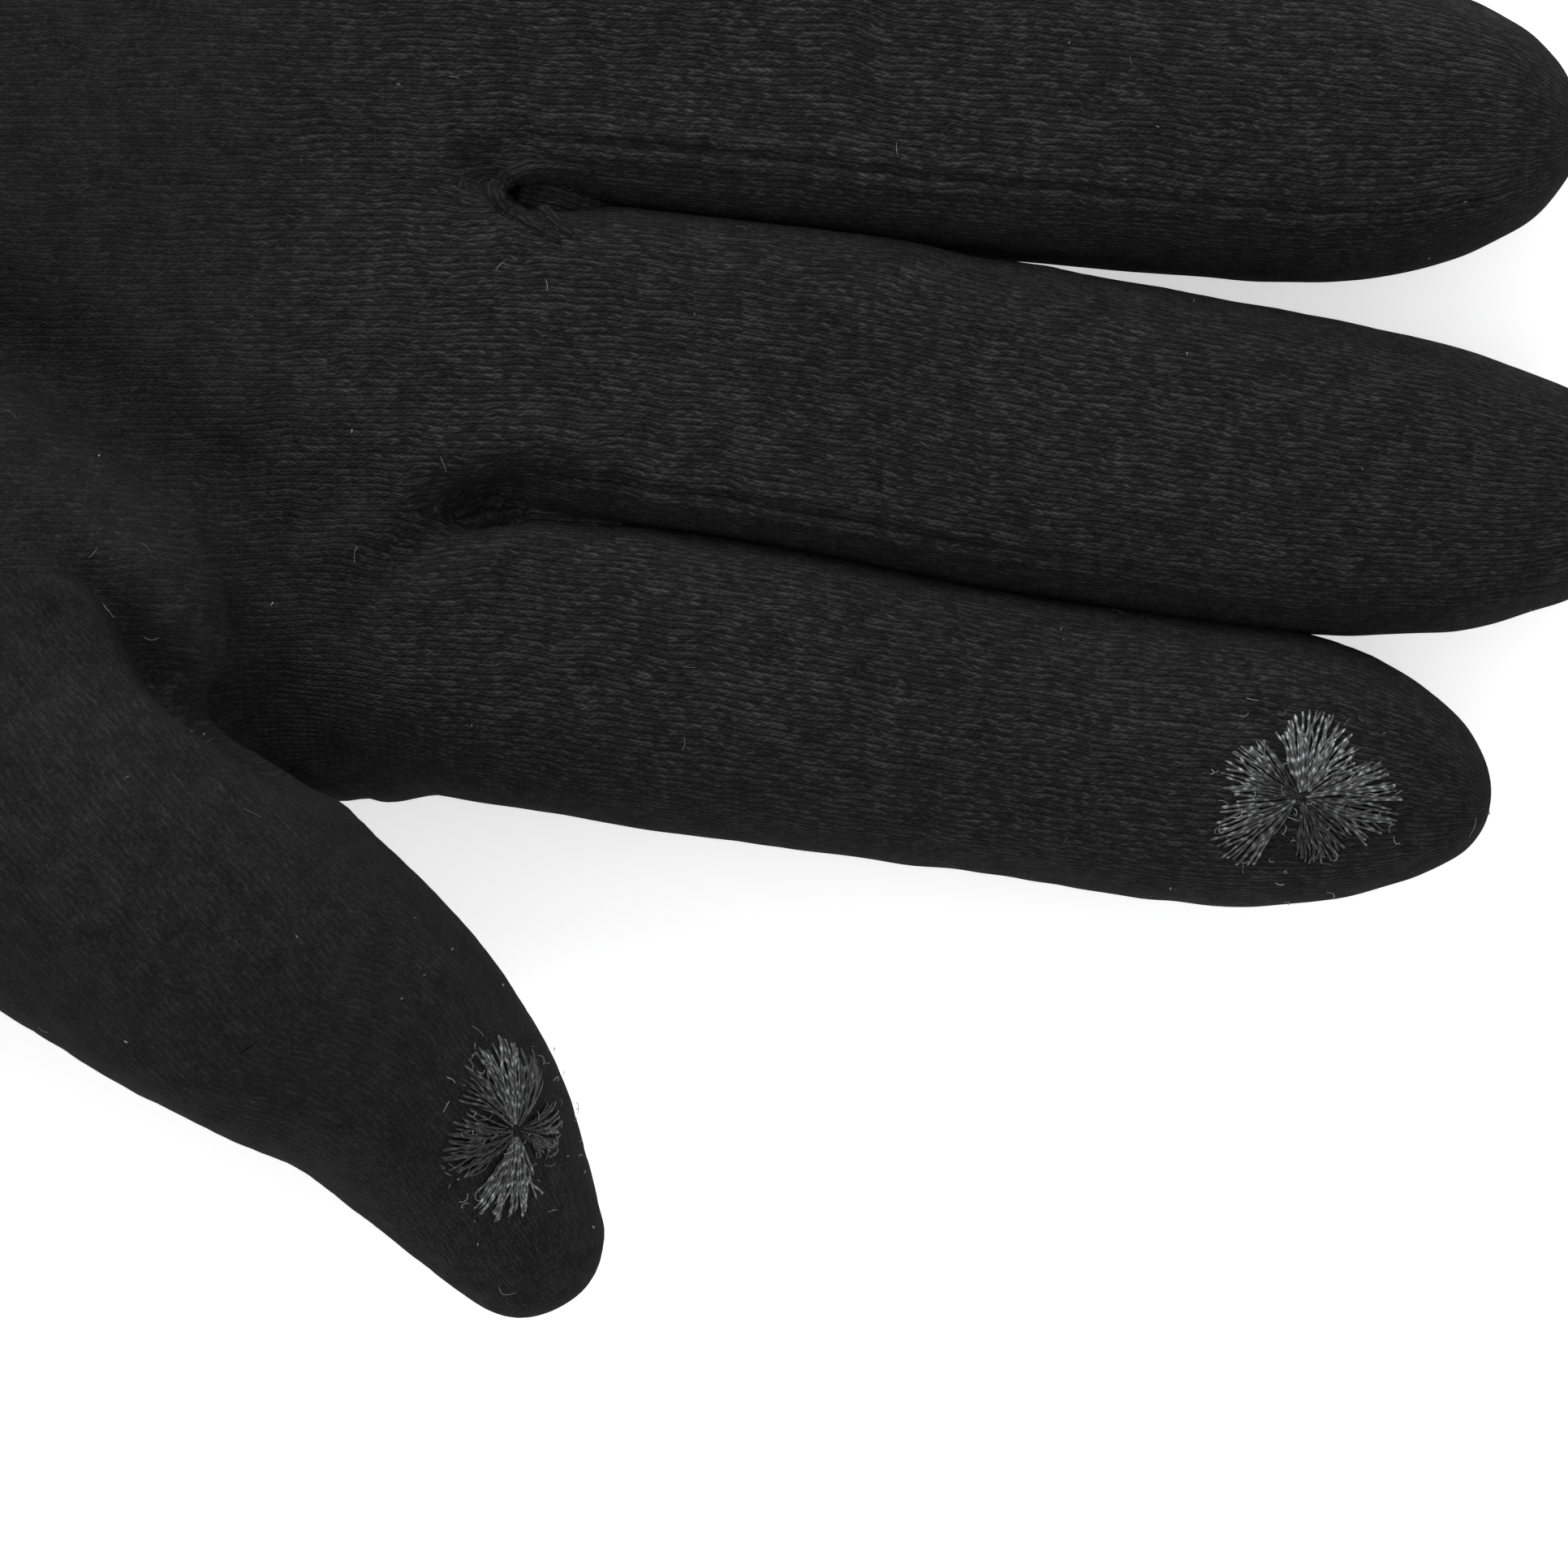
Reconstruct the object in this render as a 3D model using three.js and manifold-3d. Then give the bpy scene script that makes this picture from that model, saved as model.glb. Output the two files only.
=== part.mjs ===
// Thin knitted touchscreen glove, right hand, in the shape it has when worn, lying on its back:
// palm up (+Z), fingers along +X, thumb towards -Y. Millimetres. The origin is at the middle of the
// footprint, on the surface the glove lies on.
//
// The glove is hollow. Every cloth piece is a thin wall, cut along its seams (palm panel, back panel,
// fourchettes between the fingers, thumb piece) and again at the knuckle creases, where the pieces hinge.
import * as THREE from 'three';
import { mergeVertices } from 'three/addons/utils/BufferGeometryUtils.js';
import Module from 'manifold-3d';

const wasm = await Module();
wasm.setup();

// ---------------------------------------------------------------- driving dimensions
const WALL = 1.0;            // cloth and its seam allowance, as one wall
const GAP = 0.3;             // clearance between neighbouring pieces
const FINGER_CLEARANCE = 0.4; // taken off each side of a finger, so neighbours can bend past each other
const RING_POINTS = 16;      // points round a finger
const THUMB_POINTS = 16;
const HAND_POINTS = 28;      // points round the hand
const BEND_DEG = -6.78;      // direction of the middle finger: every finger bends in a plane along it
const CREASE_DEPTH = 2.5;    // how far a finger hinge lies below the palm side
const BEND_RANGE = [70, 80, 40]; // base, middle and tip knuckle
const THUMB_RANGE = [35, 60];
const HEM_WIDTH = 16;        // fabric turned in at the mouth
const LINING = 0.8;          // thickness of the turned-in fabric and of the elastic
const MOUTH_X = -112.5;
const WRIST_X = -51;
const ELASTIC_WIDTH = 6;
const PAD_RADIUS = 5.9;      // conductive flower
const PAD_HEIGHT = 0.5;
const INDEX_PAD = [89.5, -21.3];
const THUMB_PAD = [37.9, -41.9, 22];
const FOOTPRINT_SHIFT = [0.03, 0.98]; // brings the middle of the footprint to the origin

// Fingers: base point, direction, length, hinge stations, and rows of
// [station, edge towards +Y, edge towards -Y, underside, top].
const FINGERS = {
  index: {
    base: [36.44, -12.62], deg: -7.586, length: 65.79,
    hinges: [8, 28, 47], fourchetteSides: [1],
    rows: [
      [-14, 10.93, -10.09, 0.3, 20.5],
      [0, 9.06, -8.75, 0.3, 20.5],
      [8.96, 10.48, -8.65, 0.3, 18.98],
      [17.93, 9.95, -9.17, 0.3, 18.27],
      [26.89, 9.3, -9.22, 0.3, 17.67],
      [35.86, 8.99, -9.21, 0.3, 16.89],
      [44.82, 9.07, -9.28, 0.3, 16.09],
      [53.79, 8.79, -8.41, 0.3, 14.93],
      [56.79, 8.21, -7.6, 0.3, 14.32],
      [60.39, 6.95, -6.62, 0.91, 13.76],
      [63.19, 4.82, -5.1, 2.47, 12.32],
      [64.99, 3.29, -3.23, 4.59, 10.37],
      [65.59, 1.66, -1.65, 6.07, 9.01],
    ],
  },
  middle: {
    base: [38.54, 7.12], deg: -6.778, length: 74.47,
    hinges: [8, 31, 53], fourchetteSides: [1, -1],
    rows: [
      [-14, 9.41, -11.12, 0.3, 21],
      [0, 9.89, -10.36, 0.3, 21],
      [8.92, 9.86, -9.52, 0.3, 19.39],
      [17.85, 10.18, -10.11, 0.3, 18.75],
      [26.77, 10.27, -10.88, 0.3, 18.24],
      [35.7, 9.89, -11.36, 0.3, 17.62],
      [44.62, 9.51, -11.48, 0.3, 16.89],
      [53.54, 8.66, -11.26, 0.3, 16.13],
      [62.47, 7.76, -10.26, 0.3, 14.84],
      [65.47, 7.42, -9.52, 0.3, 13.84],
      [69.07, 6.44, -8.17, 0.93, 13.34],
      [71.87, 4.72, -6.08, 2.53, 12.05],
      [73.67, 3.4, -3.59, 4.71, 10.29],
      [74.27, 1.75, -1.8, 6.23, 9.07],
    ],
  },
  ring: {
    base: [38.54, 26.33], deg: -3.712, length: 69.09,
    hinges: [8, 29, 49.5], fourchetteSides: [1, -1],
    rows: [
      [-14, 9.14, -9.66, 0.3, 20.5],
      [0, 10.08, -8.97, 0.3, 20.5],
      [9.52, 9.98, -9.61, 0.3, 18.88],
      [19.03, 9.89, -9.94, 0.3, 18.23],
      [28.55, 9.79, -10.35, 0.3, 17.63],
      [38.06, 9.69, -10.53, 0.3, 16.82],
      [47.58, 9.68, -10.79, 0.3, 16.01],
      [57.09, 8.82, -9.98, 0.3, 14.74],
      [60.09, 7.87, -9.18, 0.3, 13.92],
      [63.69, 6.44, -8.04, 0.91, 13.39],
      [66.49, 4.55, -6.28, 2.47, 12.04],
      [68.29, 3.46, -3.57, 4.59, 10.2],
      [68.89, 1.77, -1.8, 6.07, 8.92],
    ],
  },
  little: {
    base: [32.23, 44.33], deg: 2.093, length: 54.77,
    hinges: [7, 23, 38.5], fourchetteSides: [-1],
    rows: [
      [-14, 8.87, -7.76, 0.3, 19],
      [0, 8.58, -8.26, 0.3, 19],
      [8.55, 8.49, -8.24, 0.3, 17.14],
      [17.11, 8.4, -8.18, 0.3, 16.23],
      [25.66, 8.25, -8.11, 0.3, 15.35],
      [34.22, 8.06, -7.84, 0.3, 14.55],
      [42.77, 7.54, -7.19, 0.3, 13.4],
      [45.77, 7.06, -6.6, 0.3, 12.63],
      [49.37, 6, -5.65, 0.85, 12.15],
      [52.17, 4.31, -4.03, 2.26, 10.93],
      [53.97, 2.83, -2.79, 4.18, 9.26],
      [54.57, 1.44, -1.43, 5.52, 8.1],
    ],
  },
};

// Thumb: [x, y, z, half width, half thickness] along its middle line.
const THUMB = [
  [-15.53, -6.63, 17, 15, 12.5],
  [-2.66, -11.34, 20, 18.5, 13.5],
  [7.03, -16.47, 23.5, 19.5, 13.5],
  [14.9, -24, 26, 16.5, 12.3],
  [20.8, -29.5, 26, 12.4, 11],
  [25.21, -32.83, 24, 10.8, 10.2],
  [29.2, -36.14, 21, 9.6, 9.3],
  [32.38, -39.17, 18.6, 8.8, 8.6],
  [35.2, -42.34, 16.3, 8, 7.9],
  [37.51, -45.64, 14.2, 7.2, 7.2],
  [38.97, -48.65, 12.4, 6, 6.3],
  [40.1, -51.4, 10.8, 4.5, 4.9],
  [40.78, -53.34, 9.7, 2.9, 3.3],
  [41.17, -54.51, 9, 1, 1.2],
];
const THUMB_DIR = new THREE.Vector3(0.587, -0.666, -0.462).normalize();
const THUMB_HINGES = [[20.8, -29.5, 26, 11.0], [29.2, -36.14, 21, 9.3]]; // middle point, half thickness

// Hand and cuff: [x, edge towards -Y, edge towards +Y, underside, top]
const HAND = [
  [-112.5, -28.3, 45.7, -0.8, 27],
  [-104, -27.5, 45, -0.8, 27],
  [-94, -25.5, 43, -0.8, 26.5],
  [-74, -23.5, 41, -0.8, 26],
  [-51, -22.3, 39.7, -0.8, 25.5],
  [-39, -24.3, 42.7, -0.8, 26.5],
  [-26, -27.3, 46.7, -0.8, 27.5],
  [-10, -29.3, 50.7, -0.8, 27.5],
  [4.7, -28.8, 53.0, -0.8, 27],
  [19.7, -25.5, 53.4, -0.8, 25],
  [28, -22.5, 53.3, -0.6, 23],
  [33.5, -20.5, 52.8, -0.2, 21],
  [36.6, -18.5, 51.5, 1.5, 18.5],
];

// ---------------------------------------------------------------- solids from three.js geometry
function solidOf(geometry) {
  const g = geometry.index ? geometry.toNonIndexed() : geometry;
  for (const name of Object.keys(g.attributes)) if (name !== 'position') g.deleteAttribute(name);
  const m = mergeVertices(g, 1e-4);
  const tri = [];
  const idx = m.index.array;
  for (let i = 0; i < idx.length; i += 3) {
    if (idx[i] !== idx[i + 1] && idx[i + 1] !== idx[i + 2] && idx[i] !== idx[i + 2]) tri.push(idx[i], idx[i + 1], idx[i + 2]);
  }
  return new wasm.Manifold(new wasm.Mesh({ numProp: 3, vertProperties: new Float32Array(m.attributes.position.array), triVerts: new Uint32Array(tri) }));
}

// A closed loft through rings with the same number of points, with flat fan caps.
function loft(rings) {
  const n = rings[0].length;
  const pos = [];
  const tri = (a, b, c) => pos.push(a.x, a.y, a.z, b.x, b.y, b.z, c.x, c.y, c.z);
  for (let i = 0; i + 1 < rings.length; i++) {
    for (let j = 0; j < n; j++) {
      const k = (j + 1) % n;
      tri(rings[i][j], rings[i + 1][j], rings[i + 1][k]);
      tri(rings[i][j], rings[i + 1][k], rings[i][k]);
    }
  }
  for (const [ring, flip] of [[rings[0], false], [rings[rings.length - 1], true]]) {
    const c = new THREE.Vector3();
    ring.forEach((p) => c.add(p));
    c.multiplyScalar(1 / n);
    for (let j = 0; j < n; j++) {
      const k = (j + 1) % n;
      if (flip) tri(c, ring[k], ring[j]); else tri(c, ring[j], ring[k]);
    }
  }
  const g = new THREE.BufferGeometry();
  g.setAttribute('position', new THREE.Float32BufferAttribute(pos, 3));
  const vol = signedVolume(pos);
  if (vol < 0) {
    for (let i = 0; i < pos.length; i += 9) {
      for (let k = 0; k < 3; k++) { const t = pos[i + 3 + k]; pos[i + 3 + k] = pos[i + 6 + k]; pos[i + 6 + k] = t; }
    }
    g.setAttribute('position', new THREE.Float32BufferAttribute(pos, 3));
  }
  return solidOf(g);
}

function signedVolume(p) {
  let v = 0;
  for (let i = 0; i < p.length; i += 9) {
    v += p[i] * (p[i + 4] * p[i + 8] - p[i + 5] * p[i + 7]) - p[i + 1] * (p[i + 3] * p[i + 8] - p[i + 5] * p[i + 6]) + p[i + 2] * (p[i + 3] * p[i + 7] - p[i + 4] * p[i + 6]);
  }
  return v / 6;
}

// A rounded-rectangle ring (superellipse) about `c`, along unit vectors `u` and `v`.
function ring(c, u, v, a, b, power, count) {
  const pts = [];
  for (let j = 0; j < count; j++) {
    const t = (2 * Math.PI * (j + 0.5)) / count;
    const x = a * Math.sign(Math.cos(t)) * Math.abs(Math.cos(t)) ** (2 / power);
    const y = b * Math.sign(Math.sin(t)) * Math.abs(Math.sin(t)) ** (2 / power);
    pts.push(c.clone().addScaledVector(u, x).addScaledVector(v, y));
  }
  return pts;
}

function box(x0, x1, y0, y1, z0, z1) {
  return solidOf(new THREE.BoxGeometry(x1 - x0, y1 - y0, z1 - z0).translate((x0 + x1) / 2, (y0 + y1) / 2, (z0 + z1) / 2));
}

// A prism with its outline in the plane of `along` and `up` about `origin`, `half` wide each way.
function prism(points, origin, along, up, half) {
  const side = new THREE.Vector3().crossVectors(along, up);
  const shape = new THREE.Shape(points.map(([a, b]) => new THREE.Vector2(a, b)));
  const g = new THREE.ExtrudeGeometry(shape, { depth: 2 * half, bevelEnabled: false });
  g.translate(0, 0, -half);
  g.applyMatrix4(new THREE.Matrix4().makeBasis(along, up, side));
  g.translate(origin.x, origin.y, origin.z);
  return solidOf(g);
}

const UP = new THREE.Vector3(0, 0, 1);
const dirOf = (deg) => new THREE.Vector3(Math.cos(THREE.MathUtils.degToRad(deg)), Math.sin(THREE.MathUtils.degToRad(deg)), 0);
const BEND_DIR = dirOf(BEND_DEG);

// ---------------------------------------------------------------- shapes
function fingerSolid(f, inset, count = RING_POINTS) {
  const d = dirOf(f.deg);
  const side = new THREE.Vector3(-d.y, d.x, 0);
  const rings = [];
  for (const [s, l, r, lo, hi] of f.rows) {
    const w = (l - r) / 2 - FINGER_CLEARANCE - inset;
    const h = (hi - lo) / 2 - inset;
    if (inset > 0 && (w < 2 || h < 2)) continue;
    const dome = Math.max(0, (s - (f.length - 9)) / 9);
    const c = new THREE.Vector3(f.base[0], f.base[1], (hi + lo) / 2)
      .addScaledVector(d, s - inset * dome)
      .addScaledVector(side, (l + r) / 2);
    rings.push(ring(c, side, UP, Math.max(w, 0.3), Math.max(h, 0.3), 2.3, count));
  }
  return loft(rings);
}

function handSolid(inset, extend = 0, from = -Infinity, to = Infinity) {
  const rings = [];
  HAND.forEach(([x, r, l, lo, hi], i) => {
    if (x < from - 25 || x > to + 25) return;
    let px = x;
    if (i === 0) px -= extend;
    if (i === HAND.length - 1) px -= inset;
    const c = new THREE.Vector3(px, (l + r) / 2, (hi + lo) / 2);
    rings.push(ring(c, new THREE.Vector3(0, 1, 0), UP, (l - r) / 2 - inset, (hi - lo) / 2 - inset, 2.7, HAND_POINTS));
  });
  return loft(rings).intersect(box(-400, 400, -400, 400, inset > 0 ? inset : 0, 200));
}

const thumbPoints = THUMB.map(([x, y, z]) => new THREE.Vector3(x, y, z));
function thumbFrame(i) {
  const a = thumbPoints[Math.max(0, i - 1)];
  const b = thumbPoints[Math.min(THUMB.length - 1, i + 1)];
  const d = b.clone().sub(a).normalize();
  const side = new THREE.Vector3().crossVectors(UP, d).normalize();
  return { d, side, up: new THREE.Vector3().crossVectors(d, side) };
}
function thumbSolid(inset, count = THUMB_POINTS) {
  const rings = [];
  THUMB.forEach(([, , , a, b], i) => {
    if (inset > 0 && (a - inset < 2 || b - inset < 2)) return;
    const { d, side, up } = thumbFrame(i);
    const end = Math.max(0, (i - (THUMB.length - 5)) / 4);
    rings.push(ring(thumbPoints[i].clone().addScaledVector(d, -inset * end), side, up, a - inset, b - inset, 2.2, count));
  });
  return loft(rings);
}

// ---------------------------------------------------------------- cutting tools
// Everything before (-1) or beyond (+1) a hinge, opened above the hinge by half its range each side.
function hingeSide(origin, along, up, range, which, half) {
  const t = Math.tan(THREE.MathUtils.degToRad(range / 2));
  const g = 0.2;
  const far = 150 * which;
  const top = 40;
  return prism([[far, -60], [-g * which, -60], [-g * which, 0], [(-g - top * t) * which, top], [far, top]], origin, along, up, half);
}
function rowAt(f, s) {
  const rows = f.rows;
  let i = 0;
  while (i + 2 < rows.length && s > rows[i + 1][0]) i++;
  const t = THREE.MathUtils.clamp((s - rows[i][0]) / (rows[i + 1][0] - rows[i][0]), 0, 1);
  return [s, ...rows[i].slice(1).map((v, k) => v + (rows[i + 1][k + 1] - v) * t)];
}
const topAt = (f, s) => rowAt(f, s)[4];
function fingerHinge(f, k) {
  const s = f.hinges[k];
  return new THREE.Vector3(f.base[0], f.base[1], topAt(f, s) - CREASE_DEPTH).addScaledVector(dirOf(f.deg), s);
}

// The part of a finger's wall that its fourchette takes: a wedge from inside the finger out past its side.
function wedge(f, side, grow, from, to) {
  const d = dirOf(f.deg);
  const lat = new THREE.Vector3(-d.y, d.x, 0);
  const rings = [];
  const stations = [from, ...f.rows.map((row) => row[0]).filter((s) => s > from + 1 && s < to - 1), to];
  for (const at0 of stations) {
    const [s, l, r, lo, hi] = rowAt(f, at0);
    const w = (l - r) / 2;
    const h = (hi - lo) / 2;
    const taper = THREE.MathUtils.clamp((f.length - 4 - s) / 13, 0.3, 1);
    const inner = 0.2 * w - grow;
    const outer = w + 4.5;
    const t = (0.82 * h * taper * (outer - inner)) / (w - inner) + grow;
    const c = new THREE.Vector3(f.base[0], f.base[1], (hi + lo) / 2).addScaledVector(d, s).addScaledVector(lat, (l + r) / 2);
    const at = (x, z) => c.clone().addScaledVector(lat, side * x).addScaledVector(UP, z);
    rings.push([at(inner, grow), at(inner, -grow), at(outer, -t), at(outer, t)]);
  }
  return loft(rings);
}

// ---------------------------------------------------------------- pieces
const glove = new THREE.Group();
const COLOURS = { cloth: 0x202123, fourchette: 0x1c1d1f, thread: 0x8d9296, elastic: 0x151515, label: 0x3a3b3d };
function add(name, solid, colour, roughness = 0.95) {
  const bodies = solid.simplify(0.05).decompose().sort((a, b) => b.volume() - a.volume());
  const mesh = bodies[0].getMesh();
  const geometry = new THREE.BufferGeometry();
  const verts = new Float32Array(mesh.numVert * 3);
  for (let i = 0; i < mesh.numVert; i++) for (let k = 0; k < 3; k++) verts[3 * i + k] = mesh.vertProperties[i * mesh.numProp + k];
  geometry.setAttribute('position', new THREE.BufferAttribute(verts, 3));
  geometry.setIndex(Array.from(mesh.triVerts));
  geometry.computeVertexNormals();
  const piece = new THREE.Mesh(geometry, new THREE.MeshStandardMaterial({ color: colour, roughness, metalness: 0 }));
  piece.name = name;
  glove.add(piece);
}

const half = GAP / 2;
let handOuter = handSolid(0);
let handInner = handSolid(WALL, 5);
const crotch = {};

for (const [name, f] of Object.entries(FINGERS)) {
  const outer = fingerSolid(f, 0);
  const inner = fingerSolid(f, WALL);
  const shell = outer.subtract(inner);
  const hinges = [0, 1, 2].map((k) => fingerHinge(f, k));
  const before = hinges.map((p, k) => hingeSide(p, BEND_DIR, UP, BEND_RANGE[k], -1, 30));
  const beyond = hinges.map((p, k) => hingeSide(p, BEND_DIR, UP, BEND_RANGE[k], 1, 30));
  handOuter = handOuter.add(outer.subtract(beyond[0]));
  handInner = handInner.add(inner);

  // the plane between the palm half and the back half follows the middle of the finger
  const d = dirOf(f.deg);
  const base = new THREE.Vector3(f.base[0], f.base[1], 0);
  const zBase = 10.4 * (topAt(f, 0) / 20.5);
  const zTip = (f.rows[f.rows.length - 1][3] + f.rows[f.rows.length - 1][4]) / 2;
  const slope = (zTip - zBase) / f.length;
  const above = (g) => prism([[-60, zBase - 60 * slope + g], [120, zBase + 120 * slope + g], [120, 80], [-60, 80]], base, d, UP, 30);
  const below = (g) => prism([[-60, zBase - 60 * slope - g], [120, zBase + 120 * slope - g], [120, -40], [-60, -40]], base, d, UP, 30);
  const sides = f.fourchetteSides;
  const strip = sides.map((s) => wedge(f, s, -half, -7, f.length - 9.4));
  let panels = shell;
  for (const s of sides) panels = panels.subtract(wedge(f, s, half, -7, f.length - 9.4));
  const palm = panels.intersect(above(half));
  const back = panels.intersect(below(half));
  for (let k = 0; k < 3; k++) {
    const cut = (solid) => {
      let out = solid.subtract(before[k]);
      if (k < 2) out = out.subtract(beyond[k + 1]);
      return out;
    };
    const seg = ['base', 'middle', 'tip'][k];
    add(`${name}_${seg}_palm_panel`, cut(palm), COLOURS.cloth);
    add(`${name}_${seg}_back_panel`, cut(back), COLOURS.cloth);
    sides.forEach((s, i) => {
      const neighbour = { index: ['middle'], middle: ['index', 'ring'], ring: ['middle', 'little'], little: ['ring'] }[name];
      const towards = name === 'little' ? 'ring' : s > 0 ? { index: 'middle', middle: 'ring', ring: 'little' }[name] : neighbour[0];
      add(`${name}_${seg}_fourchette_${towards}_side`, cut(shell.intersect(strip[i])), COLOURS.fourchette);
    });
  }
  crotch[name] = (s, g) => wedge(f, s, g, -7, 20);
}

// thumb
const thumbOuter = thumbSolid(0);
const thumbInner = thumbSolid(WALL);
const thumbUp0 = UP.clone().addScaledVector(THUMB_DIR, -UP.dot(THUMB_DIR)).normalize();
const tilt = THREE.MathUtils.degToRad(-12); // the pad of the thumb is turned a little towards the index finger
const thumbUp = thumbUp0.clone().applyAxisAngle(THUMB_DIR, tilt).normalize();
const thumbHinge = THUMB_HINGES.map(([x, y, z, b]) => new THREE.Vector3(x, y, z).addScaledVector(thumbUp, b - CREASE_DEPTH));
const tBefore = thumbHinge.map((p, k) => hingeSide(p, THUMB_DIR, thumbUp, THUMB_RANGE[k], -1, 60));
const tBeyond = thumbHinge.map((p, k) => hingeSide(p, THUMB_DIR, thumbUp, THUMB_RANGE[k], 1, 26));
const thumbShell = thumbOuter.subtract(thumbInner);
// the free thumb is the part of the loft clear of the hand: everything past the base hinge
handOuter = handOuter.add(thumbOuter.subtract(tBeyond[0]));
handInner = handInner.add(thumbInner);
add('thumb_base_segment', thumbShell.subtract(tBefore[0]).subtract(tBeyond[1]), COLOURS.cloth);
add('thumb_tip_segment', thumbShell.subtract(tBefore[1]), COLOURS.cloth);

// hand: palm and back halves, thumb piece, fourchette crotches
const freeThumb = thumbSolid(-GAP - 0.05).subtract(hingeSide(thumbHinge[0].clone().addScaledVector(THUMB_DIR, -GAP), THUMB_DIR, thumbUp, THUMB_RANGE[0], -1, 60));
// the cloth of the hand keeps clear of the thumb all the way through its swing
const thumbAxis = new THREE.Vector3().crossVectors(THUMB_DIR, thumbUp).normalize();
const swung = (solid, degrees) => {
  const p = thumbHinge[0];
  const m = new THREE.Matrix4().makeTranslation(p.x, p.y, p.z)
    .multiply(new THREE.Matrix4().makeRotationAxis(thumbAxis, THREE.MathUtils.degToRad(degrees)))
    .multiply(new THREE.Matrix4().makeTranslation(-p.x, -p.y, -p.z));
  return solid.transform(m.elements);
};
let handShell = handOuter.subtract(handInner).subtract(freeThumb);
for (const a of [3, 6, 10, 15, 20, 25, 30, 35]) handShell = handShell.subtract(swung(freeThumb, a));
const hole = [[32, -19.5], [26, -16], [17, -11.5], [6, -10], [-3, -13], [-9, -21], [-12, -34], [-12, -70], [90, -70], [60, -30], [40, -24]];
const thumbRegion = (g) => {
  const c = hole.reduce((s, [x, y]) => [s[0] + x / hole.length, s[1] + y / hole.length], [0, 0]);
  const grown = new THREE.Shape(hole.map(([x, y]) => {
    const v = new THREE.Vector2(x - c[0], y - c[1]);
    return new THREE.Vector2(x, y).addScaledVector(v.normalize(), g);
  }));
  const e = new THREE.ExtrudeGeometry(grown, { depth: 80, bevelEnabled: false });
  e.translate(0, 0, 8.5 - g);
  return solidOf(e);
};
const pairs = [['index', 'middle'], ['middle', 'ring'], ['ring', 'little']];
let rest = handShell.subtract(thumbRegion(GAP));
pairs.forEach(([a, b]) => {
  const tool = crotch[a](1, -half).add(crotch[b](-1, -half));
  const bigger = crotch[a](1, half).add(crotch[b](-1, half));
  add(`fourchette_crotch_${a}_${b}`, rest.intersect(tool), COLOURS.fourchette);
  rest = rest.subtract(bigger);
});
const MID_Z = 11.2;
add('palm_panel', rest.intersect(box(-300, 300, -300, 300, MID_Z + half, 100)), COLOURS.cloth);
add('back_panel', rest.intersect(box(-300, 300, -300, 300, -50, MID_Z - half)), COLOURS.cloth);
add('thumb_gusset', handShell.intersect(thumbRegion(0)), COLOURS.cloth);

// inner pieces of the cuff
const band = (x0, x1, a, b) => handSolid(a, 5).subtract(handSolid(b, 5)).intersect(box(x0, x1, -200, 200, a, 200));
add('cuff_hem', band(MOUTH_X, MOUTH_X + HEM_WIDTH, WALL + GAP, WALL + GAP + LINING), COLOURS.cloth);
add('wrist_elastic', band(WRIST_X - ELASTIC_WIDTH / 2, WRIST_X + ELASTIC_WIDTH / 2, WALL + GAP, WALL + GAP + LINING), COLOURS.elastic);
add('care_label', box(-92, -80, 38.6, 39.1, 7.5, 17.5), COLOURS.label);

// conductive embroidery: five petals of satin stitch lying on the cloth
function flower(origin, up, phase) {
  const pts = [];
  for (let i = 0; i < 30; i++) {
    const t = (2 * Math.PI * i) / 30;
    const r = PAD_RADIUS * (0.74 + 0.26 * Math.abs(Math.cos(2.5 * (t - phase))) ** 0.6);
    pts.push([r * Math.cos(t), r * Math.sin(t)]);
  }
  const ref = Math.abs(up.x) < 0.9 ? new THREE.Vector3(1, 0, 0) : new THREE.Vector3(0, 1, 0);
  const along = ref.addScaledVector(up, -ref.dot(up)).normalize();
  const across = new THREE.Vector3().crossVectors(up, along).normalize();
  return prism(pts, origin, along, across, 9);
}
const fIndex = FINGERS.index;
const indexLayer = fingerSolid(fIndex, -GAP - PAD_HEIGHT).subtract(fingerSolid(fIndex, -GAP));
add('index_conductive_pad', indexLayer.intersect(flower(new THREE.Vector3(INDEX_PAD[0], INDEX_PAD[1], 14), UP, 0.1)).intersect(box(-300, 300, -300, 300, 9.5, 60)), COLOURS.thread, 0.5);
const thumbLayer = thumbSolid(-GAP - PAD_HEIGHT).subtract(thumbSolid(-GAP));
const padPoint = new THREE.Vector3(...THUMB_PAD);
add('thumb_conductive_pad', thumbLayer.intersect(flower(padPoint, thumbUp, 0.3)).subtract(prism([[-80, -60], [80, -60], [80, 0], [-80, 0]], padPoint.clone().addScaledVector(thumbUp, -5.5), THUMB_DIR, thumbUp, 40)), COLOURS.thread, 0.5);

glove.position.set(FOOTPRINT_SHIFT[0], FOOTPRINT_SHIFT[1], 0);
export default glove;
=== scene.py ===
import math

import bpy
import numpy as np
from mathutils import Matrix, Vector
from mathutils.bvhtree import BVHTree


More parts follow.
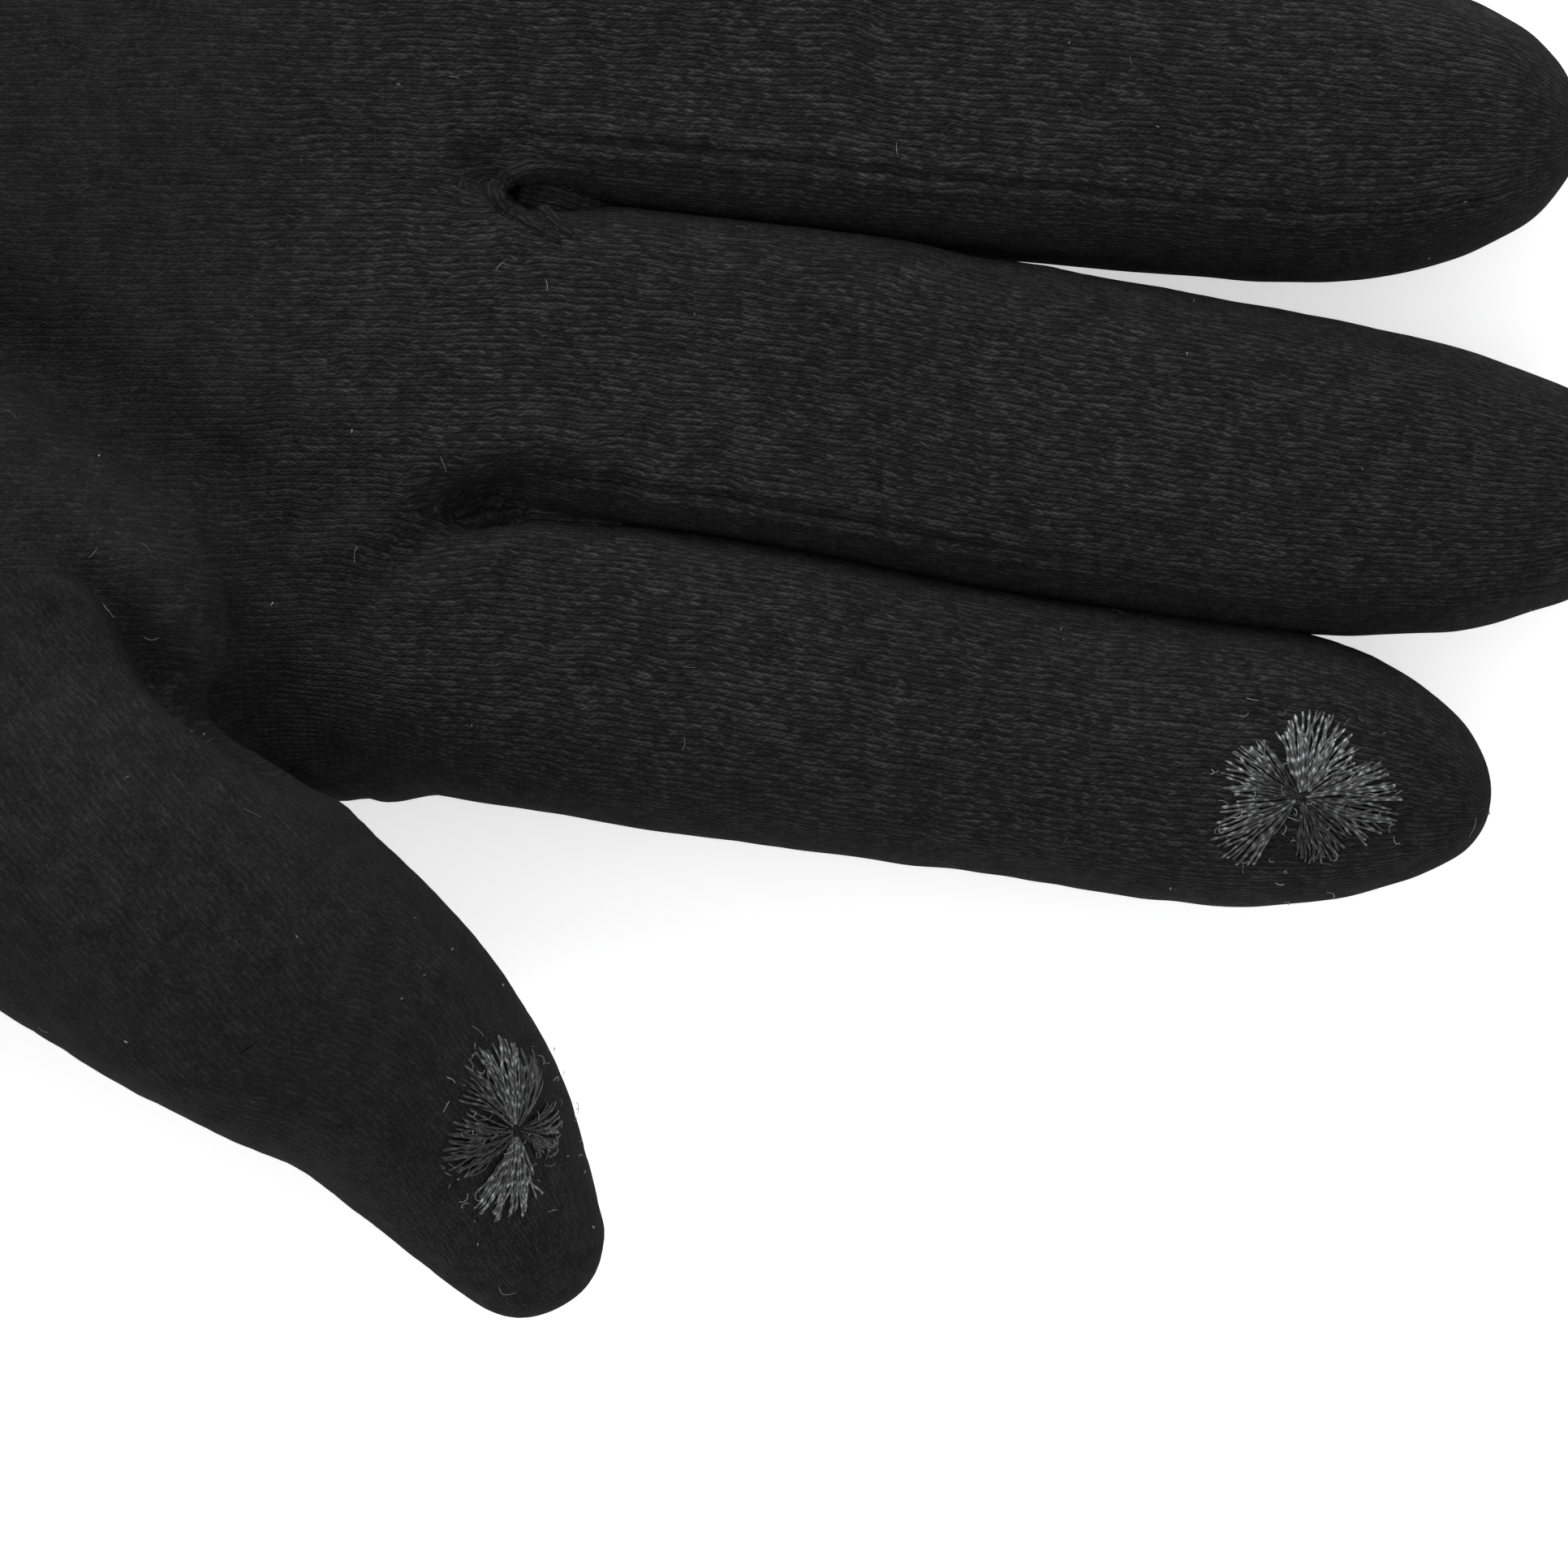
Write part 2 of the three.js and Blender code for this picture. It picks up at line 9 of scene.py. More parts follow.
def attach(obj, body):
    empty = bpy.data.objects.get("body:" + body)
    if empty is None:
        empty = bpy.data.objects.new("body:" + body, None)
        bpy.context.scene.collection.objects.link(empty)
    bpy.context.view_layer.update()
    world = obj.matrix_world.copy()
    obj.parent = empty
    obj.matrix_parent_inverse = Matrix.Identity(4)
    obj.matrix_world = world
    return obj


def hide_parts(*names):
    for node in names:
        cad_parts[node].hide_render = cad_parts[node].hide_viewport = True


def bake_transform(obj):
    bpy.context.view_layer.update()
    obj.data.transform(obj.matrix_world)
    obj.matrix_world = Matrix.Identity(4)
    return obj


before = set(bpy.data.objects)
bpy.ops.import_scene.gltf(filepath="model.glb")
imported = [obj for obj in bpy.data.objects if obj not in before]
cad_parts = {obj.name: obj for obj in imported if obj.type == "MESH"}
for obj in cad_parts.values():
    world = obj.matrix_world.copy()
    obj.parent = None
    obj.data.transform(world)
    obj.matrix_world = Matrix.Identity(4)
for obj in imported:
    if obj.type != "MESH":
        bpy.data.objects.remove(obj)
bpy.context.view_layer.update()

MM = 0.001
CLOTH = 0.8            # thickness of the jersey, mm
SHIFT = (0.03, 0.98)   # the CAD model's footprint shift, mm
STEP = 0.62      # mesh spacing of the hand, mm
RING_STEP = 0.5  # mesh spacing of the fingers, mm

# ------------------------------------------------------------------ small helpers


def smooth01(x):
    x = np.clip(x, 0.0, 1.0)
    return x * x * (3 - 2 * x)


def curve(points):
    """A smooth function through (x, y) points: monotone cubic through them, lightly rounded."""
    xs = np.array([p[0] for p in points], float)
    ys = np.array([p[1] for p in points], float)
    h = np.diff(xs)
    d = np.diff(ys) / h
    m = np.zeros(len(xs))
    m[1:-1] = np.where(d[:-1] * d[1:] > 0, 2 * d[:-1] * d[1:] / (d[:-1] + d[1:] + 1e-12), (d[:-1] + d[1:]) * 0.25)
    m[0], m[-1] = d[0], d[-1]

    def f(x):
        x = np.asarray(x, float)
        i = np.clip(np.searchsorted(xs, x) - 1, 0, len(h) - 1)
        t = np.clip((x - xs[i]) / h[i], 0, 1)
        over = x - np.clip(x, xs[0], xs[-1])
        v = (
            (2 * t**3 - 3 * t**2 + 1) * ys[i] + (t**3 - 2 * t**2 + t) * h[i] * m[i]
            + (-2 * t**3 + 3 * t**2) * ys[i + 1] + (t**3 - t**2) * h[i] * m[i + 1]
        )
        return v + over * np.where(over < 0, m[0], m[-1])

    return f


def smin(a, b, k):
    """Smooth minimum: rounds the crease between two surfaces over about k."""
    k = np.maximum(k, 1e-6)
    h = np.maximum(k - np.abs(a - b), 0.0) / k
    return np.minimum(a, b) - h * h * k * 0.25


class Waves:
    """A smooth repeatable bumpy field in space, about -1 to 1, with features near `size` mm."""

    def __init__(self, size, seed, count=14):
        rng = np.random.default_rng(seed)
        v = rng.normal(size=(count, 3))
        v /= np.linalg.norm(v, axis=1)[:, None]
        self.k = v * (2 * math.pi / (size * rng.uniform(0.7, 1.7, count)))[:, None]
        self.p = rng.uniform(0, 2 * math.pi, count)
        self.n = count

    def __call__(self, P):
        return np.sin(P @ self.k.T + self.p).sum(-1) / math.sqrt(self.n)


def power_dome(x, m):
    return np.maximum(1 - np.clip(x, 0, 1) ** m, 0.0) ** (1 / m)


# ------------------------------------------------------------------ the glove's shape, in mm
# Each finger: base point, direction, length, middle line and half width along it (the same dimensions as
# the CAD rows), where the tip starts to round, its top line, and how far up its sides the fourchette
# seams sit (share of the half width; towards +Y, towards -Y; None where the panels run on with no seam).
FINGERS = {
    "index": dict(
        base=(36.467, -11.636), deg=-7.586, L=65.79, hinges=(8, 28, 47), m=2.06,
        c=[(-15.67, -1.98), (0.0, -0.1), (10.53, 0.55), (21.19, 0.3), (31.86, 0.0), (42.5, -0.1), (53.06, 0.2), (58.34, 0.2), (62.27, 0.1), (65.79, -0.35)],
        w=[(-15.67, 9.21), (0.0, 9.05), (10.53, 9.6), (21.19, 9.5), (31.86, 9.16), (42.5, 9.26), (47.25, 9.21)],
        zt=[(-12, 21.5), (0, 20.5), (10, 18.8), (20, 18.0), (28, 17.4), (38, 17.0), (47, 15.9), (55.8, 15.2)], zc=7.7,
        seam=(0.985, None), back=(0.80, None)),
    "middle": dict(
        base=(38.572, 8.101), deg=-6.778, L=74.47, hinges=(8, 31, 53), m=2.2,
        c=[(-17.85, -1.0), (0.0, 0.0), (10.0, 0.12), (19.08, 0.04), (29.74, -0.45), (40.39, -0.87), (51.02, -1.15), (61.62, -1.1), (68.56, -0.65), (74.48, -0.1)],
        w=[(-17.85, 9.74), (0.0, 10.0), (10.0, 10.2), (19.08, 10.37), (29.74, 10.75), (40.39, 10.74), (45.7, 10.63)],
        zt=[(-12, 22), (0, 21), (10, 19.3), (21, 18.5), (31, 17.8), (42, 17.5), (53, 16.3), (64.5, 15.5)], zc=7.9,
        seam=(0.985, 0.76), back=(0.80, 0.80)),
    "ring": dict(
        base=(38.572, 27.312), deg=-3.712, L=69.09, hinges=(8, 29, 49.5), m=2.15,
        c=[(-17.88, -0.5), (0, 0.05), (18.99, -0.03), (30.17, -0.05), (44.58, -0.27), (50.66, -0.35), (56.71, -0.22), (62.5, -0.06), (69.09, 0.0)],
        w=[(-17.88, 9.58), (0, 9.58), (10, 9.75), (18.99, 10.0), (30.17, 10.3), (44.58, 10.37), (48.55, 10.37)],
        zt=[(-12, 21.5), (0, 20.5), (10, 18.8), (20, 18.0), (29, 17.4), (39, 17.0), (49.5, 15.9), (59, 15.2)], zc=7.7,
        seam=(0.985, 0.63), back=(0.80, 0.80)),
    "little": dict(
        base=(32.256, 45.312), deg=2.093, L=54.77, hinges=(7, 23, 38.5), m=2.1,
        c=[(-16.83, 0.4), (0.0, 0.0), (20.02, 0.2), (38.45, 0.17), (54.77, 0.0)],
        w=[(-16.83, 8.32), (0.0, 8.42), (20.02, 8.21), (37.5, 7.89)],
        zt=[(-12, 20), (0, 19), (8, 17.2), (23, 15.5), (38, 14.0), (46, 13.4)], zc=6.9,
        seam=(None, 0.70), back=(None, 0.80)),
}
CURVES = {
    n: dict(c=curve(f["c"]), w=curve(f["w"]), zt=curve(f["zt"])) for n, f in FINGERS.items()
}
for n, f in FINGERS.items():
    a = math.radians(f["deg"])
    f["d"] = np.array([math.cos(a), math.sin(a)])
    f["lat"] = np.array([-math.sin(a), math.cos(a)])
    f["sw"] = f["w"][-1][0]          # where the plan outline starts to round
    f["sh"] = f["zt"][-1][0]         # where the thickness starts to round

# the lowest points between the fingers, and the line across the hand where the finger stalls begin
CROTCH = {"out": (36.6, -21.2), "im": (39.3, -2.9), "mr": (40.8, 17.7), "rl": (36.0, 37.1), "end": (35.0, 54.6)}
GROOVES = []
SIDES = {"index": ("out", "im"), "middle": ("im", "mr"), "ring": ("mr", "rl"), "little": ("rl", "end")}
LINE = [CROTCH["out"], CROTCH["im"], CROTCH["mr"], CROTCH["rl"], CROTCH["end"]]


def cut_x(y):
    return np.interp(y, [p[1] for p in LINE], [p[0] for p in LINE])


def finger_local(name, P):
    f = FINGERS[name]
    x = P[..., 0] - f["base"][0]
    y = P[..., 1] - f["base"][1]
    return x * f["d"][0] + y * f["d"][1], -x * f["d"][1] + y * f["d"][0]


STATIONS = np.arange(-24.0, 76.0, 1.0)


def edge_points(name, side):
    f, c = FINGERS[name], CURVES[name]
    S = STATIONS
    w = c["w"](np.minimum(S, f["sw"])) * power_dome((S - f["sw"]) / (f["L"] - f["sw"]), f["m"])
    t = c["c"](S) + side * w
    return np.array(f["base"]) + S[:, None] * f["d"] + t[:, None] * f["lat"]


def fit_sides():
    """Neighbouring fingers touch without running into each other: each side edge stops short of the line
    halfway between the two."""
    names = ["index", "middle", "ring", "little"]
    for n in names:
        c = CURVES[n]
        c["plus"] = c["c"](STATIONS) + c["w"](STATIONS)
        c["minus"] = c["c"](STATIONS) - c["w"](STATIONS)
    for a, b in zip(names[:-1], names[1:]):
        ea, eb = edge_points(a, 1), edge_points(b, -1)
        x = np.linspace(5, 115, 221)
        fb = np.interp(x, eb[:, 0], eb[:, 1])
        fa = np.interp(x, ea[:, 0], ea[:, 1])
        end = {"index": 84, "middle": 64.5, "ring": 62}[a]
        mid = (fa + fb) / 2
        over = (fa - fb > -2.6) & (x < end)
        GROOVES.append((x, mid, end))
        for n, side, key in ((a, 1, "plus"), (b, -1, "minus")):
            f, c = FINGERS[n], CURVES[n]
            P = np.array(f["base"]) + STATIONS[:, None] * f["d"] + c[key][:, None] * f["lat"]
            m = np.interp(P[:, 0], x, mid)
            o = np.interp(P[:, 0], x, over.astype(float))
            limit = (m + side * 0.14 - P[:, 1]) / f["lat"][1]
            c[key] = c[key] + limit * o
    S = STATIONS
    CURVES["index"]["minus"] += 1.15 * (1 - smooth01((S + 9.0) / 17.0))
    CURVES["middle"]["plus"] -= 0.42 * smooth01((S - 23.0) / 6.0)
    for n in names:
        c = CURVES[n]
        for key in ("plus", "minus"):
            v = c[key]
            for _ in range(2):
                v = np.convolve(np.pad(v, 1, mode="edge"), [0.25, 0.5, 0.25], mode="valid")
            c[key] = v


def plan_of(name, s):
    c = CURVES[name]
    p = np.interp(s, STATIONS, c["plus"])
    m = np.interp(s, STATIONS, c["minus"])
    return (p + m) / 2, (p - m) / 2


fit_sides()


def finger_section(name, s):
    """Middle line offset, half width, mid height and half height at station s."""
    f, c = FINGERS[name], CURVES[name]
    s = np.asarray(s, float)
    cc, ww = plan_of(name, np.minimum(s, f["sw"]))
    w = ww * power_dome((s - f["sw"]) / (f["L"] - f["sw"]), f["m"])
    cc = np.where(s > f["sw"], c["c"](s) + (plan_of(name, f["sw"])[0] - c["c"](f["sw"])), cc)
    zt = c["zt"](np.minimum(s, f["sh"]))
    zb = 0.3
    k = power_dome((s - f["sh"]) / (f["L"] - f["sh"]), 2.15)
    mid = (zt + zb) / 2
    half = (zt - zb) / 2
    mid = mid + (f["zc"] - mid) * smooth01((s - f["sh"] + 10) / (f["L"] - f["sh"] + 10))
    return cc, w, mid, half * k


TOUCH = {"index": (1, 0), "middle": (1, 1), "ring": (1, 1), "little": (0, 1)}


def roundness(name, s, side):
    """Exponent of the section: near its root a finger is squarer on the side that touches the next one."""
    plus, minus = TOUCH[name]
    on = np.where(side > 0, float(plus), float(minus))
    return 2.3 + 1.9 * on * (1 - smooth01((s - 8.0) / 44.0))


def finger_field(name, P):
    s, t = finger_local(name, P)
    c, w, zc, h = finger_section(name, np.minimum(s, 40.0))
    sink = smooth01((-s - 3.0) / 17.0)       # the stall's root dies away inside the hand
    w, h = w * (1 - 0.35 * sink), h * (1 - 0.4 * sink)
    u, v = t - c, P[..., 2] - zc
    n = roundness(name, s, u)
    r = (np.abs(u / w) ** n + np.abs(v / h) ** n) ** (1 / n)
    rho = np.sqrt(u * u + v * v)
    d = rho * (1 - 1 / np.maximum(r, 0.05))
    return np.maximum(d, -s - 22.0)


HAND_ROWS = [
    # x, edge towards -Y, edge towards +Y, top
    (-125, -28.9, 46.4, 27.2), (-112.5, -27.9, 45.4, 27.0), (-104, -27.1, 44.6, 27.0), (-94, -25.4, 43.2, 26.5),
    (-74, -23.4, 41.2, 26.0), (-51, -22.2, 39.9, 25.4), (-39, -24.2, 42.6, 26.4), (-26, -27.2, 46.8, 27.2),
    (-10, -29.0, 51.0, 27.2), (4.7, -27.8, 52.8, 26.2), (19.7, -23.2, 53.3, 24.2), (28, -20.2, 52.9, 22.3),
    (34, -19.2, 52.5, 20.8), (40, -18.7, 52.0, 19.6),
]
hand_r = curve([(r[0], r[1] + SHIFT[1]) for r in HAND_ROWS])
hand_l = curve([(r[0], r[2] + SHIFT[1]) for r in HAND_ROWS])
hand_t = curve([(r[0], r[3]) for r in HAND_ROWS])


BALL_CREASE = [(1.0, 9.8), (9.0, 7.2), (16.5, 2.9), (21.4, -0.4), (23.6, -4.6), (24.4, -9.0), (24.2, -14.0)]


def hand_field(P):
    x, y, z = P[..., 0], P[..., 1], P[..., 2]
    lo, hi, top = hand_r(x), hand_l(x), hand_t(x)
    top = top - 2.0 * smooth01((y - 26) / 26) * smooth01((x - 4) / 26)
    bottom = 0.05
    c, w = (lo + hi) / 2, (hi - lo) / 2
    zc, h = (top + bottom) / 2, (top - bottom) / 2
    u, v = y - c, z - zc
    n = 2.6
    r = (np.abs(u / w) ** n + np.abs(v / h) ** n) ** (1 / n)
    rho = np.sqrt(u * u + v * v)
    d = rho * (1 - 1 / np.maximum(r, 0.05))
    palm = smooth01((z - zc) / (0.6 * h))
    # the hollow of the palm, deepest at the foot of the ball of the thumb, and the soft pads below the fingers
    d = d + palm * 5.8 * np.exp(-(((x - 16) / 15) ** 2 + ((y - 0) / 13) ** 2))
    d = d + palm * 1.6 * np.exp(-(((x + 2) / 26) ** 2 + ((y - 16) / 12) ** 2))
    d = d - palm * 1.4 * np.exp(-(((x + 6) / 24) ** 2 + ((y - 38) / 12) ** 2))
    # the crease where the ball of the thumb lies against the palm
    q = np.full(x.shape, 1e3)
    for (ax, ay), (bx, by) in zip(BALL_CREASE[:-1], BALL_CREASE[1:]):
        abx, aby = bx - ax, by - ay
        t = np.clip(((x - ax) * abx + (y - ay) * aby) / (abx**2 + aby**2), 0, 1)
        q = np.minimum(q, np.hypot(x - ax - abx * t, y - ay - aby * t))
    d = d + palm * 3.4 * np.exp(-((q / 3.2) ** 2)) * smooth01((x + 2.0) / 12)
    # the hand gives way to the finger roots
    end = (x - cut_x(y)) + 4.6
    return -smin(-d, -end * 0.8, 4.0)


# thumb: x, y, z, half width, half thickness along the middle line
THUMB = [
    (-24.0, -7.0, 14, 12, 11.5), (-9.0, -12.2, 17.5, 13.2, 12.6), (4.4, -17.1, 22.0, 12.6, 12.8), (14.1, -23.9, 24.8, 11.4, 12.1),
    (21.0, -28.8, 25.0, 10.8, 11), (25.6, -32.0, 23.6, 10.2, 10.1), (29.4, -35.05, 21, 9.3, 9.2), (32.4, -38.2, 18.5, 8.5, 8.5),
    (34.9, -41.6, 16.0, 7.5, 7.6), (37.0, -45.1, 13.8, 6.3, 6.6), (38.75, -48.1, 11.9, 5.2, 5.5),
]
THUMB_DIR = np.array([0.587, -0.666, -0.462]); THUMB_DIR /= np.linalg.norm(THUMB_DIR)
THUMB_HINGE = [np.array([20.83, -28.52, 26.0]), np.array([29.23, -35.16, 21.0])]


def catmull(rows, per):
    R = np.array(rows, float)
    P = np.vstack([2 * R[0] - R[1], R, 2 * R[-1] - R[-2]])
    out = []
    for i in range(1, len(P) - 2):
        for t in np.linspace(0, 1, per, endpoint=False):
            out.append(0.5 * (2 * P[i] + (P[i + 1] - P[i - 1]) * t + (2 * P[i - 1] - 5 * P[i] + 4 * P[i + 1] - P[i + 2]) * t * t + (3 * P[i] - P[i - 1] - 3 * P[i + 1] + P[i + 2]) * t**3))
    out.append(R[-1])
    return np.array(out)


def thumb_frames(rows):
    C = rows[:, :3]
    T = np.gradient(C, axis=0)
    T /= np.linalg.norm(T, axis=1)[:, None]
    side = np.cross([0, 0, 1], T)
    side /= np.linalg.norm(side, axis=1)[:, None]
    return C, T, side, np.cross(T, side)


PER = 4
TH = catmull(THUMB, PER)
TC, TT, TS, TU = thumb_frames(TH)


def thumb_field(P, upto=10 * PER):
    best = np.full(P.shape[:-1], 1e3)
    n = 2.2
    for i in range(0, upto):
        a, b = TC[i], TC[i + 1]
        ab = b - a
        t = np.clip(((P - a) @ ab) / (ab @ ab), 0, 1)[..., None]
        q = P - (a + ab * t)
        side = TS[i] * (1 - t) + TS[i + 1] * t
        up = TU[i] * (1 - t) + TU[i + 1] * t
        t = t[..., 0]
        A = TH[i, 3] * (1 - t) + TH[i + 1, 3] * t
        B = TH[i, 4] * (1 - t) + TH[i + 1, 4] * t
        u, v = (q * side).sum(-1), (q * up).sum(-1)
        rho2 = (q * q).sum(-1)
        ax = np.sqrt(np.maximum(rho2 - u * u - v * v, 0))
        r = (np.abs(u / A) ** n + np.abs(v / B) ** n + (ax / np.minimum(A, B)) ** n) ** (1 / n)
        d = np.sqrt(rho2) * (1 - 1 / np.maximum(r, 0.05))
        best = np.minimum(best, d)
    return best


THUMB_CUT = TC[4 * PER] + THUMB_DIR * 1.5    # where the thumb stall starts, just past its base knuckle
# the ball of the thumb: x, y, z, radius
BALL = [(-32, -6, 13.0, 11.0), (-20, -1.8, 16.0, 11.0), (-8, -0.2, 20.0, 10.2), (3.8, -3.4, 23.6, 9.0), (12.6, -8.6, 24.2, 8.6)]


def ball_field(P):
    best = np.full(P.shape[:-1], 1e3)
    R = np.array(BALL)
    for a, b in zip(R[:-1], R[1:]):
        ab = b[:3] - a[:3]
        t = np.clip(((P - a[:3]) @ ab) / (ab @ ab), 0, 1)
        q = P - (a[:3] + ab * t[..., None])
        r = a[3] + (b[3] - a[3]) * t
        d = np.sqrt((q * q).sum(-1)) - r
        best = smin(best, d, 3.0)
    return best + 0.0


def along_thumb(P):
    return (P - THUMB_CUT) @ THUMB_DIR


def glove_field(P, full=False):
    """The outside of the glove's hand. Past the line of the finger stalls the fingers are apart, and past
    the thumb cut the thumb is."""
    y = P[..., 1]
    x = P[..., 0]
    fade = smooth01((cut_x(y) - x) / 6.5)
    H = hand_field(P)
    d = None
    for n in ("little", "ring", "middle", "index"):
        F = finger_field(n, P)
        d = F if d is None else smin(d, F, 3.4 * fade)
    d = smin(H, d, 5.0 * fade + 0.01)
    near = (x > -50) & (y < np.where(x < 24, 19.0, 4.0)) & (d < 30)
    if near.any():
        Q = P[near]
        t = thumb_field(Q)
        g = smin(t, ball_field(Q), 2.6 * smooth01(-along_thumb(Q) / 8) + 0.01)
        kt = 0.3 + 2.2 * smooth01(-(along_thumb(Q) + 1) / 12)
        kt = kt * (1 + 4.0 * smooth01((-2 - Q[:, 0]) / 22))
        w = smooth01((Q[:, 0] + 50) / 14)
        dd = d[near]
        d[near] = dd + (smin(dd, g, kt) - dd) * w
    # the back of the hand lies on the table
    rest = 0.12 - 3.0 * smooth01((x - 20) / 11)
    return -smin(-d, P[..., 2] - rest, 0.8)


# ------------------------------------------------------------------ meshing
def surface_nets(field, lo, hi, step):
    """A quad mesh of field = 0 over a box: one vertex in each cell that the surface crosses."""
    ns = [int(math.ceil((h - l) / step)) + 1 for l, h in zip(lo, hi)]
    ax = [l + np.arange(n) * step for l, n in zip(lo, ns)]
    G = np.empty(ns, np.float32)
    for i0 in range(0, ns[0], 24):
        X, Y, Z = np.meshgrid(ax[0][i0:i0 + 24], ax[1], ax[2], indexing="ij")
        G[i0:i0 + 24] = field(np.stack([X, Y, Z], -1))
    inside = G < 0
    c = inside[:-1, :-1, :-1].astype(np.int8)
    total = np.zeros_like(c)
    for dx in (0, 1):
        for dy in (0, 1):
            for dz in (0, 1):
                total += inside[dx:ns[0] - 1 + dx, dy:ns[1] - 1 + dy, dz:ns[2] - 1 + dz]
    active = (total > 0) & (total < 8)
    index = np.full(active.shape, -1, np.int64)
    cells = np.argwhere(active)
    index[active] = np.arange(len(cells))
    acc = np.zeros((len(cells), 3))
    cnt = np.zeros(len(cells))
    corners = [(a, b, c_) for a in (0, 1) for b in (0, 1) for c_ in (0, 1)]
    for a in corners:
        for axis in range(3):
            if a[axis]:
                continue
            b = list(a); b[axis] = 1
            ga = G[cells[:, 0] + a[0], cells[:, 1] + a[1], cells[:, 2] + a[2]]
            gb = G[cells[:, 0] + b[0], cells[:, 1] + b[1], cells[:, 2] + b[2]]
            cross = (ga < 0) != (gb < 0)
            t = np.where(cross, ga / np.where(ga - gb == 0, 1, ga - gb), 0)
            p = np.array(a, float) + t[:, None] * np.eye(3)[axis]
            acc[cross] += p[cross]
            cnt[cross] += 1
    V = np.array(lo) + (cells + acc / cnt[:, None]) * step
    quads = []
    for axis in range(3):
        o1, o2 = [(1, 2), (2, 0), (0, 1)][axis]
        sl0 = [slice(1, -1)] * 3; sl0[axis] = slice(0, -1)
        sl1 = [slice(1, -1)] * 3; sl1[axis] = slice(1, None)
        a, b = inside[tuple(sl0)], inside[tuple(sl1)]
        e = np.argwhere(a != b)
        flip = a[tuple(e.T)]
        e = e + 1
        e[:, axis] -= 1
        def at(d1, d2):
            q = e.copy(); q[:, o1] -= d1; q[:, o2] -= d2
            return index[tuple(q.T)]
        q = np.stack([at(1, 1), at(0, 1), at(0, 0), at(1, 0)], 1)
        q[~flip] = q[~flip][:, ::-1]
        quads.append(q)
    Q = np.vstack(quads)
    return V, Q[(Q >= 0).all(1)]


def gradient(field, V, e=0.05):
    g = np.empty_like(V)
    for i in range(3):
        d = np.zeros(3); d[i] = e
        g[:, i] = (field(V + d) - field(V - d)) / (2 * e)
    return g


def project(field, V, steps=4):
    for _ in range(steps):
        f = field(V)
        g = gradient(field, V)
        n2 = np.maximum((g * g).sum(1), 0.05)
        V = V - g * np.clip(f / n2, -0.8, 0.8)[:, None]
    return V


def tri_of(Q):
    return np.vstack([Q[:, [0, 1, 2]], Q[:, [0, 2, 3]]])


def vertex_normals(V, T):
    fn = np.cross(V[T[:, 1]] - V[T[:, 0]], V[T[:, 2]] - V[T[:, 0]])
    N = np.zeros_like(V)
    for k in range(3):
        np.add.at(N, T[:, k], fn)
    return N / np.maximum(np.linalg.norm(N, axis=1), 1e-12)[:, None]


def relax(V, T, keep, rounds, field=None):
    """Evens out the mesh along the surface, holding the vertices in keep."""
    E = np.vstack([T[:, [0, 1]], T[:, [1, 2]], T[:, [2, 0]]])
    E = np.vstack([E, E[:, ::-1]])
    n = np.bincount(E[:, 0], minlength=len(V)).astype(float)
    for _ in range(rounds):
        S = np.zeros_like(V)
        for k in range(3):
            S[:, k] = np.bincount(E[:, 0], weights=V[E[:, 1], k], minlength=len(V))
        M = S / np.maximum(n, 1)[:, None]
        N = vertex_normals(V, T)
        d = M - V
        d -= N * (d * N).sum(1)[:, None]
        d[keep] = 0
        V = V + 0.5 * d
    return V


